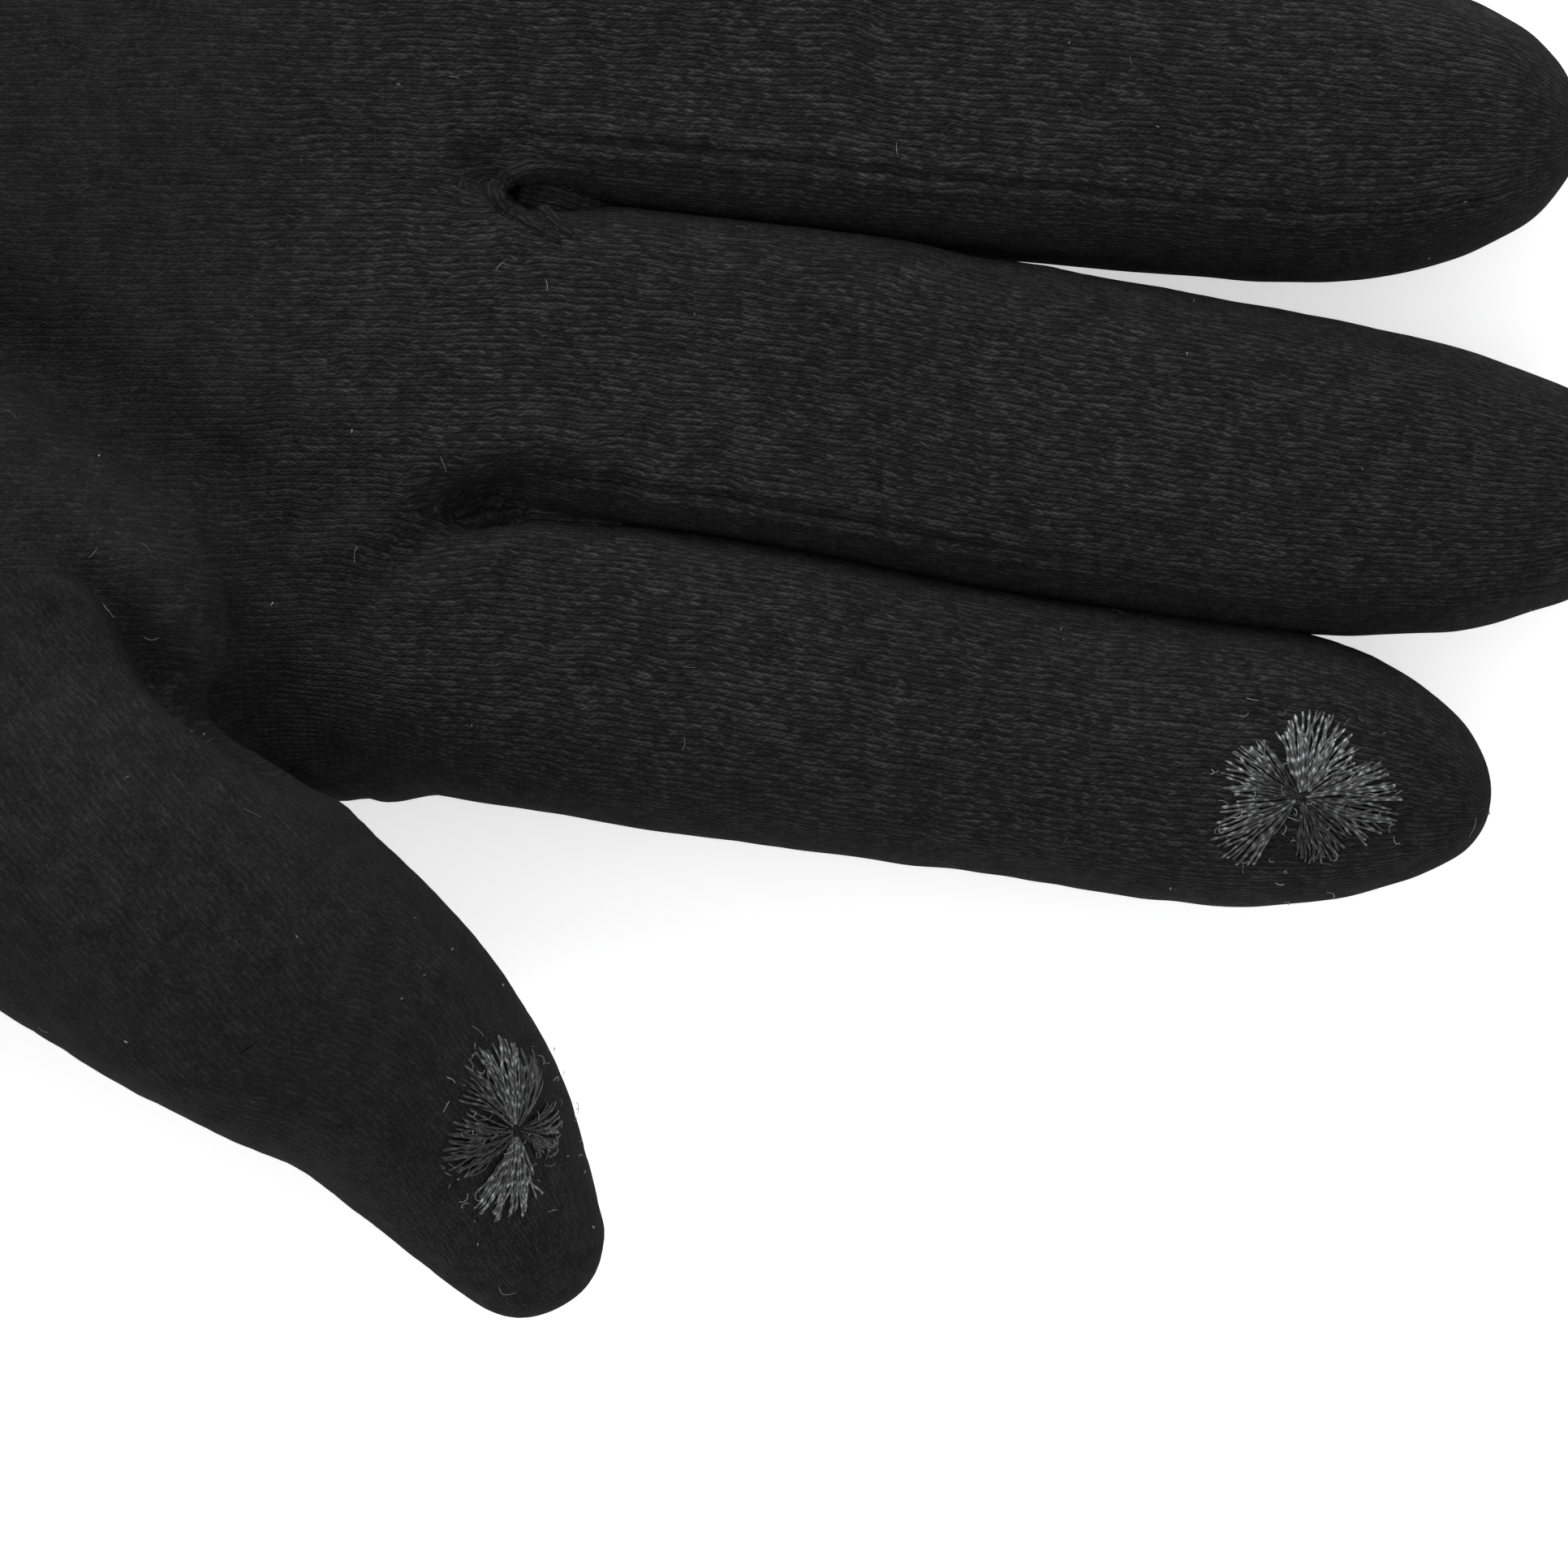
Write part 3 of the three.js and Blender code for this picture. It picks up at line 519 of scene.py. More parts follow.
def split_mesh(V, T, A, value, mask=None, snap=0.22):
    """Cuts triangles where value (one number per vertex) crosses zero, inside mask, so that no triangle
    lies on both sides. A holds other per-vertex arrays. Returns V, T, A, value."""
    V = V.copy(); value = value.astype(float).copy()
    if mask is None:
        mask = np.ones(len(T), bool)
    E = np.vstack([T[mask][:, [0, 1]], T[mask][:, [1, 2]], T[mask][:, [2, 0]]])
    E = np.unique(np.sort(E, 1), axis=0)
    a, b = value[E[:, 0]], value[E[:, 1]]
    cr = (a * b < 0)
    E, a, b = E[cr], a[cr], b[cr]
    t = a / (a - b)
    # snap close vertices onto the line
    for end, near in ((0, t < snap), (1, t > 1 - snap)):
        ids = E[near, end]
        other = E[near, 1 - end]
        w = (t if end == 0 else 1 - t)[near]
        order = np.argsort(w)[::-1]
        ids, other, w = ids[order], other[order], w[order]
        newp = V[ids] + (V[other] - V[ids]) * w[:, None]
        V[ids] = newp
        value[ids] = 0.0
    a, b = value[E[:, 0]], value[E[:, 1]]
    cr = (a * b < 0)
    E, a, b = E[cr], a[cr], b[cr]
    t = a / (a - b)
    base = len(V)
    V = np.vstack([V, V[E[:, 0]] + (V[E[:, 1]] - V[E[:, 0]]) * t[:, None]])
    A = {k: np.concatenate([x, x[E[:, 0]] + (x[E[:, 1]] - x[E[:, 0]]) * (t if x.ndim == 1 else t[:, None])]) for k, x in A.items()}
    value = np.concatenate([value, np.zeros(len(E))])
    lookup = {(int(p), int(q)): base + i for i, (p, q) in enumerate(E)}
    S = np.sign(value)
    out = []
    tv = T
    sg = S[tv]
    crossing = mask & (sg.min(1) < 0) & (sg.max(1) > 0)
    keep = tv[~crossing]
    for tri in tv[crossing]:
        tri = [int(i) for i in tri]
        mids = []
        for k in range(3):
            p, q = tri[k], tri[(k + 1) % 3]
            mids.append(lookup.get((min(p, q), max(p, q))))
        n = sum(m is not None for m in mids)
        if n == 1:
            k = [i for i in range(3) if mids[i] is not None][0]
            p, q, r = tri[k], tri[(k + 1) % 3], tri[(k + 2) % 3]
            out += [(p, mids[k], r), (mids[k], q, r)]
        elif n == 2:
            k = [i for i in range(3) if mids[i] is None][0]
            p, q, r = tri[k], tri[(k + 1) % 3], tri[(k + 2) % 3]
            m1, m2 = mids[(k + 1) % 3], mids[(k + 2) % 3]
            out += [(p, q, m1), (p, m1, m2), (m2, m1, r)]
        else:
            out.append(tuple(tri))
    T = np.vstack([keep, np.array(out, int).reshape(-1, 3)])
    return V, T, A, value


# ------------------------------------------------------------------ folds and puckers of the cloth, in mm
BROAD, MIDDLING, FINE = Waves(17.0, 3), Waves(6.5, 5), Waves(2.6, 8)


def gauss(x):
    return np.exp(-np.minimum(x * x, 60.0))


THUMB_FOLD = [(11.2, -4.9), (12.6, -5.8), (14.3, -7.1), (16.3, -9.7), (17.7, -12.4), (20.7, -15.1), (23.6, -17.4), (26.4, -19.4)]
INDEX_HOLLOW = [(28.6, -8.6), (31.2, -5.4), (34.0, -3.1), (36.6, -1.5), (39.6, -0.8), (45.0, -0.9)]
RING_HOLLOW = [(38.6, 17.4), (41.0, 17.7), (44.0, 17.2)]


def near_line(x, y, pts):
    """Distance from a line of points, and how far along it (0 to 1)."""
    q = np.full(x.shape, 1e3)
    run = np.zeros(x.shape)
    for k, ((ax, ay), (bx, by)) in enumerate(zip(pts[:-1], pts[1:])):
        abx, aby = bx - ax, by - ay
        t = np.clip(((x - ax) * abx + (y - ay) * aby) / (abx**2 + aby**2), 0, 1)
        qq = np.hypot(x - ax - abx * t, y - ay - aby * t)
        run = np.where(qq < q, k + t, run)
        q = np.minimum(q, qq)
    return q, run / (len(pts) - 1)


def folds(P):
    """How far the cloth stands off its smooth shape at P, in mm."""
    x, y, z = P[..., 0], P[..., 1], P[..., 2]
    up = smooth01((z - 8) / 6)
    d = 0.10 * BROAD(P) + 0.055 * MIDDLING(P) + 0.022 * FINE(P)
    wob = 0.8 * MIDDLING(P * 0.6)
    # whiskers running back from the foot of each gap between two fingers
    for name, amp in (("im", 1.0), ("mr", 0.8), ("rl", 0.8)):
        cx, cy = CROTCH[name]
        r = np.hypot(x - cx, y - cy)
        a = np.arctan2(y - cy, -(x - cx))
        fan = np.cos(a * 7.0 + 0.35 * wob + 0.6) * smooth01(r / 2.2) * gauss((r - 4.0) / 4.2)
        d += amp * 0.26 * fan * smooth01((1.9 - np.abs(a)) / 0.7)
        d -= up * amp * (0.4 if name == "rl" else 0.1) * gauss((x - cx + 1.6) / 3.0) * gauss((y - cy) / 1.6)
    for pts, dep, wid in ((THUMB_FOLD, 1.7, 1.15), (INDEX_HOLLOW, 1.5, 1.5), (RING_HOLLOW, 0.4, 0.9)):
        q, run = near_line(x, y, pts)
        taper = np.sin(np.pi * np.clip(run, 0.04, 0.96)) ** (0.8 if pts is THUMB_FOLD else 0.4)
        above = smooth01((z - 18) / 4) if pts is THUMB_FOLD else up
        d -= above * dep * taper * (gauss(q / wid) - 0.3 * gauss((q - 2.1 * wid) / (0.9 * wid)))
    # the hooked fold round the foot of the gap between middle and ring finger
    cx, cy = 40.3, 17.0
    r = np.hypot((x - cx) * 0.9, y - cy)
    d += up * 0.45 * gauss((r - 2.5) / 0.9) * smooth01((cx + 1.8 - x) / 2.0)
    d -= up * 0.35 * gauss((r - 4.2) / 0.9) * smooth01((cx + 0.5 - x) / 2.5)
    # the hollow beside the ball of the thumb, and the creases where the thumb's cloth doubles over
    for (ax, ay, bx, by, dep, wid) in (
        (-18.0, 14.0, 8.0, 6.5, 0.25, 1.6), (24.0, 4.0, 31.0, 16.0, 0.22, 1.4), (20.0, -1.0, 27.5, 7.0, 0.22, 1.2),
        (24.5, -7.0, 33.0, -4.6, 0.20, 1.0),
    ):
        abx, aby = bx - ax, by - ay
        t = np.clip(((x - ax) * abx + (y - ay) * aby) / (abx**2 + aby**2), 0, 1)
        q = np.hypot(x - ax - abx * t, y - ay - aby * t) + 0.25 * wob
        d -= up * dep * (gauss(q / wid) - 0.55 * gauss((q - 1.9 * wid) / (1.1 * wid))) * np.sin(np.pi * np.clip(t, 0.06, 0.94)) ** 0.5
    # where two fingers lie against each other the cloth is pressed smooth
    low = smooth01((17.0 - z) / 3.5)
    for gx, gy, ge in GROOVES:
        yy = np.interp(x, gx, gy)
        d *= 1 - 0.92 * gauss((y - yy) / 2.4) * low * (x > 33) * smooth01((ge + 6 - x) / 6)
    # gathers over the wrist elastic
    g = gauss((x + 51) / 7.5)
    ph = (y * 1.0 + np.sign(y - 9) * np.abs(z - 13) * 0.55)
    d += g * (0.30 * np.sin(ph * 2 * np.pi / 3.6 + 1.3 * BROAD(P)) - 0.35 * gauss((x + 51) / 2.9))
    g2 = gauss((x + 40) / 8) + gauss((x + 62) / 8)
    d += 0.10 * g2 * np.sin(ph * 2 * np.pi / 5.1 + 1.8 * BROAD(P))
    # the hem's stitching pulls the cloth in a little
    d -= 0.22 * gauss((x + 98.2) / 0.55) * (1 + 0.35 * np.sin(ph * 2 * np.pi / 2.9))
    d += 0.06 * smooth01((-98.5 - x) / 1.0)
    return d


# ------------------------------------------------------------------ making Blender objects
PIECES = []


def closed_shell(V, N, T, thick=CLOTH):
    """Gives a surface the thickness of the cloth, inwards, closed all round its edges."""
    used = np.unique(T)
    remap = np.full(len(V), -1); remap[used] = np.arange(len(used))
    T = remap[T]; V = V[used]; N = N[used]
    n = len(V)
    E = np.vstack([T[:, [0, 1]], T[:, [1, 2]], T[:, [2, 0]]])
    key = np.sort(E, 1)
    code = key[:, 0].astype(np.int64) * n + key[:, 1]
    u, inv, cnt = np.unique(code, return_inverse=True, return_counts=True)
    B = E[cnt[inv] == 1]
    W = np.vstack([V, V - N * thick])
    walls = np.vstack([np.stack([B[:, 1], B[:, 0], B[:, 0] + n], 1), np.stack([B[:, 1], B[:, 0] + n, B[:, 1] + n], 1)]) if len(B) else np.zeros((0, 3), int)
    F = np.vstack([T, T[:, ::-1] + n, walls])
    return W, np.vstack([N, -N]), F, used


def tube(path, radius, sides=5, taper=True):
    """A closed thin tube along a path; returns vertices, normals and triangles."""
    path = np.asarray(path, float)
    k = len(path)
    t = np.gradient(path, axis=0)
    t /= np.maximum(np.linalg.norm(t, axis=1), 1e-9)[:, None]
    ref = np.array([0.0, 0.0, 1.0]) if abs(t[:, 2]).mean() < 0.8 else np.array([1.0, 0, 0])
    a = np.cross(t, ref); a /= np.maximum(np.linalg.norm(a, axis=1), 1e-9)[:, None]
    b = np.cross(t, a)
    ang = np.arange(sides) * 2 * np.pi / sides
    r = np.full(k, radius) if np.isscalar(radius) else np.asarray(radius)
    dirs = a[:, None] * np.cos(ang)[None, :, None] + b[:, None] * np.sin(ang)[None, :, None]
    V = (path[:, None] + dirs * r[:, None, None]).reshape(-1, 3)
    N = dirs.reshape(-1, 3)
    i = np.arange(k - 1)[:, None] * sides
    j = np.arange(sides)[None, :]
    j2 = (j + 1) % sides
    q = np.stack([(i + j), (i + j2), (i + sides + j2), (i + sides + j)], -1).reshape(-1, 4)
    F = np.vstack([q[:, [0, 1, 2]], q[:, [0, 2, 3]]])
    n = len(V)
    V = np.vstack([V, path[0] - t[0] * r[0] * 0.6, path[-1] + t[-1] * r[-1] * 0.6])
    N = np.vstack([N, -t[0], t[-1]])
    caps = []
    for jj in range(sides):
        caps.append((n, (jj + 1) % sides, jj))
        base = (k - 1) * sides
        caps.append((n + 1, base + jj, base + (jj + 1) % sides))
    F = np.vstack([F, np.array(caps)])
    # outward winding
    c = V[F].mean(1) - 0
    fn = np.cross(V[F[:, 1]] - V[F[:, 0]], V[F[:, 2]] - V[F[:, 0]])
    if ((N[F[:, 0]] * fn).sum(1) < 0).mean() > 0.5:
        F = F[:, ::-1]
    return V, N, F


def merge(parts):
    """parts: list of (V, N, F, attributes dict). Joins them into one."""
    Vs, Ns, Fs, As = [], [], [], {}
    keys = parts[0][3].keys()
    off = 0
    for V, N, F, A in parts:
        Vs.append(V); Ns.append(N); Fs.append(F + off); off += len(V)
        for k in keys:
            As.setdefault(k, []).append(A[k])
    return np.vstack(Vs), np.vstack(Ns), np.vstack(Fs), {k: np.concatenate(v) for k, v in As.items()}


def make(name, V, N, F, A, material):
    """A Blender mesh from arrays in mm."""
    me = bpy.data.meshes.new(name)
    me.vertices.add(len(V))
    me.vertices.foreach_set("co", (V * MM).astype(np.float32).ravel())
    me.loops.add(len(F) * 3)
    me.loops.foreach_set("vertex_index", F.astype(np.int32).ravel())
    me.polygons.add(len(F))
    me.polygons.foreach_set("loop_start", (np.arange(len(F)) * 3).astype(np.int32))
    me.polygons.foreach_set("use_smooth", np.ones(len(F), bool))
    me.update(calc_edges=True)
    me.validate(clean_customdata=False)
    for key, val in A.items():
        kind = "FLOAT" if val.ndim == 1 else "FLOAT_VECTOR"
        at = me.attributes.new(key, kind, "POINT")
        at.data.foreach_set("value" if val.ndim == 1 else "vector", val.astype(np.float32).ravel())
    if N is not None and len(me.vertices) == len(V):
        me.normals_split_custom_set_from_vertices([tuple(n) for n in N])
    me.materials.append(material)
    ob = bpy.data.objects.new(name, me)
    bpy.context.scene.collection.objects.link(ob)
    PIECES.append(ob)
    return ob


RNG = np.random.default_rng(11)


def lint(V, N, T, G, rate, seed):
    """Stray fibres lying on a surface: about rate per 100 square mm."""
    rng = np.random.default_rng(seed)
    fn = np.cross(V[T[:, 1]] - V[T[:, 0]], V[T[:, 2]] - V[T[:, 0]])
    area = np.linalg.norm(fn, axis=1) / 2
    count = rng.poisson(area.sum() * rate / 100)
    out = []
    if count == 0:
        return out
    pick = rng.choice(len(T), size=count, p=area / area.sum())
    for t in pick:
        w = rng.dirichlet([1, 1, 1])
        p = w @ V[T[t]]; n = w @ N[T[t]]; n /= np.linalg.norm(n)
        a = np.cross(n, rng.normal(size=3)); a /= np.linalg.norm(a)
        b = np.cross(n, a)
        if rng.random() < 0.7:      # a speck
            L, r, bend = rng.uniform(0.08, 0.22), rng.uniform(0.025, 0.05), 0.2
        else:                        # a fibre
            L, r, bend = rng.uniform(0.4, 1.5), rng.uniform(0.010, 0.018), rng.normal(0, 0.3)
        s = np.linspace(-0.5, 0.5, 6)
        path = p + a * (s * L)[:, None] + b * ((s * s * 4 - 0.5) * bend * L * 0.5)[:, None] + n * (0.05 + 0.05 * np.cos(s * 6))[:, None]
        tv, tn, tf = tube(path, r, 4)
        bright = rng.uniform(0.35, 1.0)
        out.append((tv, tn, tf, {"grain": np.zeros((len(tv), 3)), "lint": np.full(len(tv), bright), "shade": np.ones(len(tv))}))
    return out


# ------------------------------------------------------------------ cloth direction: u along the wales, v across them, in mm
def nearest_finger(P):
    x, y = P[..., 0], P[..., 1]
    idx = np.zeros(P.shape[:-1], int)
    for k, key in enumerate(("im", "mr", "rl")):
        cx, cy = CROTCH[key]
        slope = -0.11 if k < 2 else -0.03
        idx = np.where(y > cy + slope * (x - cx), k + 1, idx)
    return idx


NAMES = ["index", "middle", "ring", "little"]


def grain_of(P, palm=True):
    """Cloth coordinates on the palm (or back) of the hand."""
    x, y, z = P[:, 0], P[:, 1], P[:, 2]
    lo, hi, top = hand_r(x), hand_l(x), hand_t(x)
    q = np.clip((y - (lo + hi) / 2) / ((hi - lo) / 2), -1.05, 1.05)
    drop = np.maximum(top - z, 0) if palm else np.maximum(z, 0)
    v = y + q**5 * drop
    idx = nearest_finger(P)
    vf = np.zeros(len(P))
    for k, n in enumerate(NAMES):
        m = idx == k
        if m.any():
            s, t = finger_local(n, P[m])
            c, w, zc, h = finger_section(n, np.clip(s, -20, 40))
            qf = np.clip((t - c) / w, -1.05, 1.05)
            dz = np.maximum(zc + h - P[m, 2], 0) if palm else np.maximum(P[m, 2] - (zc - h), 0)
            plus, minus = TOUCH[n]
            dz = np.minimum(dz, np.where(np.where(qf > 0, plus, minus) == 1, 2.2, 99.0))
            vf[m] = P[m, 1] + qf**5 * dz
    w = smooth01((x - cut_x(y) + 9) / 8)
    return np.stack([x, v * (1 - w) + vf * w, np.zeros(len(P))], 1)


THUMB_SIDE = np.cross([0, 0, 1], THUMB_DIR); THUMB_SIDE /= np.linalg.norm(THUMB_SIDE)
THUMB_UP = np.cross(THUMB_DIR, THUMB_SIDE)


def grain_thumb(P):
    r = P - THUMB_CUT
    side, up = r @ THUMB_SIDE, r @ THUMB_UP
    a = np.arctan2(up, side)
    k = np.clip(side / 11.5, -1, 1)
    return np.stack([r @ THUMB_DIR, side + k**5 * np.maximum(11 - up, 0), np.zeros(len(P))], 1)


# ------------------------------------------------------------------ the hand
HOLE = [(28.9, -20.3), (22.6, -17.3), (18.9, -14.0), (16.9, -11.6), (13.4, -6.8), (7.0, -6.5), (-2.0, -9.5), (-9.0, -18.5), (-12.5, -33.0),
        (-12.5, -70), (90, -70), (60, -36), (36, -24.5)]


def inside_polygon(P, poly):
    """Signed distance in plan, positive inside."""
    x, y = P[:, 0], P[:, 1]
    d = np.full(len(P), 1e9)
    ins = np.zeros(len(P), bool)
    n = len(poly)
    for i in range(n):
        ax, ay = poly[i]; bx, by = poly[(i + 1) % n]
        abx, aby = bx - ax, by - ay
        t = np.clip(((x - ax) * abx + (y - ay) * aby) / (abx**2 + aby**2), 0, 1)
        d = np.minimum(d, np.hypot(x - ax - abx * t, y - ay - aby * t))
        cond = ((ay > y) != (by > y)) & (x < (bx - ax) * (y - ay) / (by - ay + 1e-12) + ax)
        ins ^= cond
    return np.where(ins, d, -d)


MOUTH = -112.45
MID_Z = 11.2


def thumb_part(P):
    """Positive on the part of the surface that belongs to the thumb stall."""
    al = along_thumb(P)
    out = np.full(len(P), -5.0)
    m = al > -3
    if m.any():
        Q = P[m]
        th = thumb_field(Q)
        other = hand_field(Q)
        for n in ("index", "middle"):
            other = np.minimum(other, finger_field(n, Q))
        out[m] = np.minimum(al[m], other - th)
    return out


def hole_part(P):
    return np.minimum(inside_polygon(P, HOLE), P[:, 2] - 8.5)


def seam_groove(a, along, amp=1.0):
    """The cross section of a sewn seam: a narrow groove between two soft ridges, with puckers along it."""
    puck = 0.5 + 0.5 * np.sin(along * 2 * np.pi / 1.9)
    return amp * (-0.24 * gauss(a / 0.28) + 0.24 * gauss((np.abs(a) - 0.7) / 0.55) + 0.12 * puck * gauss((np.abs(a) - 0.9) / 0.7))


def build_hand():
    V, Q = surface_nets(glove_field, (-114.5, -50, -1.5), (45.5, 58, 40), STEP)
    V = project(glove_field, V, 3)
    d1 = np.linalg.norm(V[Q[:, 0]] - V[Q[:, 2]], axis=1)
    d2 = np.linalg.norm(V[Q[:, 1]] - V[Q[:, 3]], axis=1)
    T = np.vstack([Q[d1 <= d2][:, [0, 1, 2]], Q[d1 <= d2][:, [0, 2, 3]], Q[d1 > d2][:, [0, 1, 3]], Q[d1 > d2][:, [1, 2, 3]]])
    ends = (V[:, 0] > 44.5) | (V[:, 0] < -113.8) | (V[:, 1] < -49)
    V = relax(V, T, ends, 4)
    V = project(glove_field, V, 2)
    A = {}
    tests = [
        lambda P: P[:, 0] - MOUTH,
        lambda P: P[:, 0] - cut_x(P[:, 1]),
        thumb_part,
        hole_part,
        lambda P: P[:, 2] - MID_Z,
    ]
    for k, test in enumerate(tests):
        val = test(V)
        mask = None
        if k == 4:
            hv = hole_part(V)
            mask = hv[T].max(1) < 0.02
        V, T, A, val = split_mesh(V, T, A, val, mask)
    c = V[T].mean(1)
    reg = [test(c) for test in tests]
    # seams of the thumb hole and of the outer side, and the folds
    hv = hole_part(V)
    zz = V[:, 2]
    near_hole = (V[:, 0] > -20) & (V[:, 0] < 40) & (V[:, 1] < 0)
    G = gradient(glove_field, V)
    G /= np.maximum(np.linalg.norm(G, axis=1), 1e-6)[:, None]
    disp = folds(V)
    disp += np.where(near_hole, seam_groove(hv, V[:, 0] - V[:, 1], 0.4), 0)
    side = smooth01((V[:, 1] - 20) / 10)
    disp += side * seam_groove(zz - MID_Z, V[:, 0], 0.8)
    V2 = V + G * disp[:, None]
    N = vertex_normals(V2, T)
    keep = (reg[0] > 0) & (reg[1] < 0) & (reg[2] < 0)
    hole = keep & (reg[3] > 0)
    palm = keep & ~hole & (reg[4] > 0)
    back = keep & ~hole & (reg[4] <= 0)
    grains = {"palm": grain_of(V, True), "back": grain_of(V, False), "thumb": grain_thumb(V)}
    shade = 1.0 + 0.05 * BROAD(V * 0.7)
    # painted shade: the cloth is painted darker along the crease beside the ball of the thumb, in the hollow at the
    # index finger's root and along the thumb's fold, where shade falls
    above = smooth01((V[:, 2] - MID_Z) / 3)
    for pts, dep, wid in ((BALL_CREASE, 0.20, 4.5), (INDEX_HOLLOW, 0.20, 2.0), (THUMB_FOLD, 0.38, 1.25)):
        q, run = near_line(V[:, 0], V[:, 1], pts)
        if pts is THUMB_FOLD:
            above = smooth01((V[:, 2] - 18) / 4) * np.sin(np.pi * np.clip(run, 0.04, 0.96)) ** 0.8
        shade = shade * (1 - dep * gauss(q / wid) * above)
    # the grain's third number (softness) softens the stitch contrast, and the knit also paints the cloth darker by
    # it, as shade on this side of the palm and on the thumb gusset
    for key in grains:
        grains[key][:, 2] = smooth01((37 - V[:, 0]) / 24) if key != "thumb" else 1.0
    out = {}
    for name, m, g in (("palm_panel", palm, "palm"), ("back_panel", back, "back"), ("thumb_gusset", hole, "thumb")):
        out[name] = (V2, N, T[m], {"grain": grains[g], "lint": np.zeros(len(V)), "shade": shade})
    return out


# ------------------------------------------------------------------ the fingers
def column_angles(name):
    """Angles round the finger with the seams exactly on columns: list of (angle, region start)."""
    f = FINGERS[name]
    n = 2.3
    def at(tau, quadrant):
        a = math.acos(tau ** (n / 2)) if tau else 0.0
        return {"tp": a, "tm": math.pi - a, "bm": math.pi + a, "bp": 2 * math.pi - a}[quadrant]
    tp = at(f["seam"][0], "tp"); tm = at(f["seam"][1], "tm")
    bm = at(f["back"][1], "bm"); bp = at(f["back"][0], "bp")
    marks = [("palm", tp, tm), ("minus", tm, bm), ("back", bm, bp), ("plus", bp, tp + 2 * math.pi)]
    dense = np.linspace(0, 4 * math.pi, 8001)
    cs, sn = np.cos(dense), np.sin(dense)
    X = 10 * np.sign(cs) * np.abs(cs) ** (2 / n)
    Z = 9 * np.sign(sn) * np.abs(sn) ** (2 / n)
    L = np.concatenate([[0], np.cumsum(np.hypot(np.diff(X), np.diff(Z)))])
    angles, regions = [], []
    for reg, a0, a1 in marks:
        if a1 - a0 < 1e-6:
            continue
        l0, l1 = np.interp([a0, a1], dense, L)
        pos = [0.0]
        while pos[-1] < (l1 - l0):
            p = pos[-1]
            edge = min(p, (l1 - l0) - p)
            pos.append(p + (0.22 if edge < 1.3 else RING_STEP) * 1.0)
        pos = np.array(pos) * (l1 - l0) / pos[-1]
        aa = np.interp(l0 + pos, L, dense)
        aa[0], aa[-1] = a0, a1
        regions.append((reg, len(angles), len(angles) + len(aa) - 1))
        angles += list(aa[:-1])
    return np.array(angles), regions


def finger_points(name, s, th):
    f = FINGERS[name]
    c, w, zc, h = finger_section(name, s)
    cs, sn = np.cos(th), np.sin(th)
    n = roundness(name, s, cs)
    q = np.sign(cs) * np.abs(cs) ** (2 / 2.3)
    r = np.sign(sn) * np.maximum(1 - np.abs(q) ** n, 0) ** (1 / n)
    t = c + w * q
    z = zc + h * r
    x = f["base"][0] + s * f["d"][0] + t * f["lat"][0]
    y = f["base"][1] + s * f["d"][1] + t * f["lat"][1]
    return np.stack([x, y, z], -1)


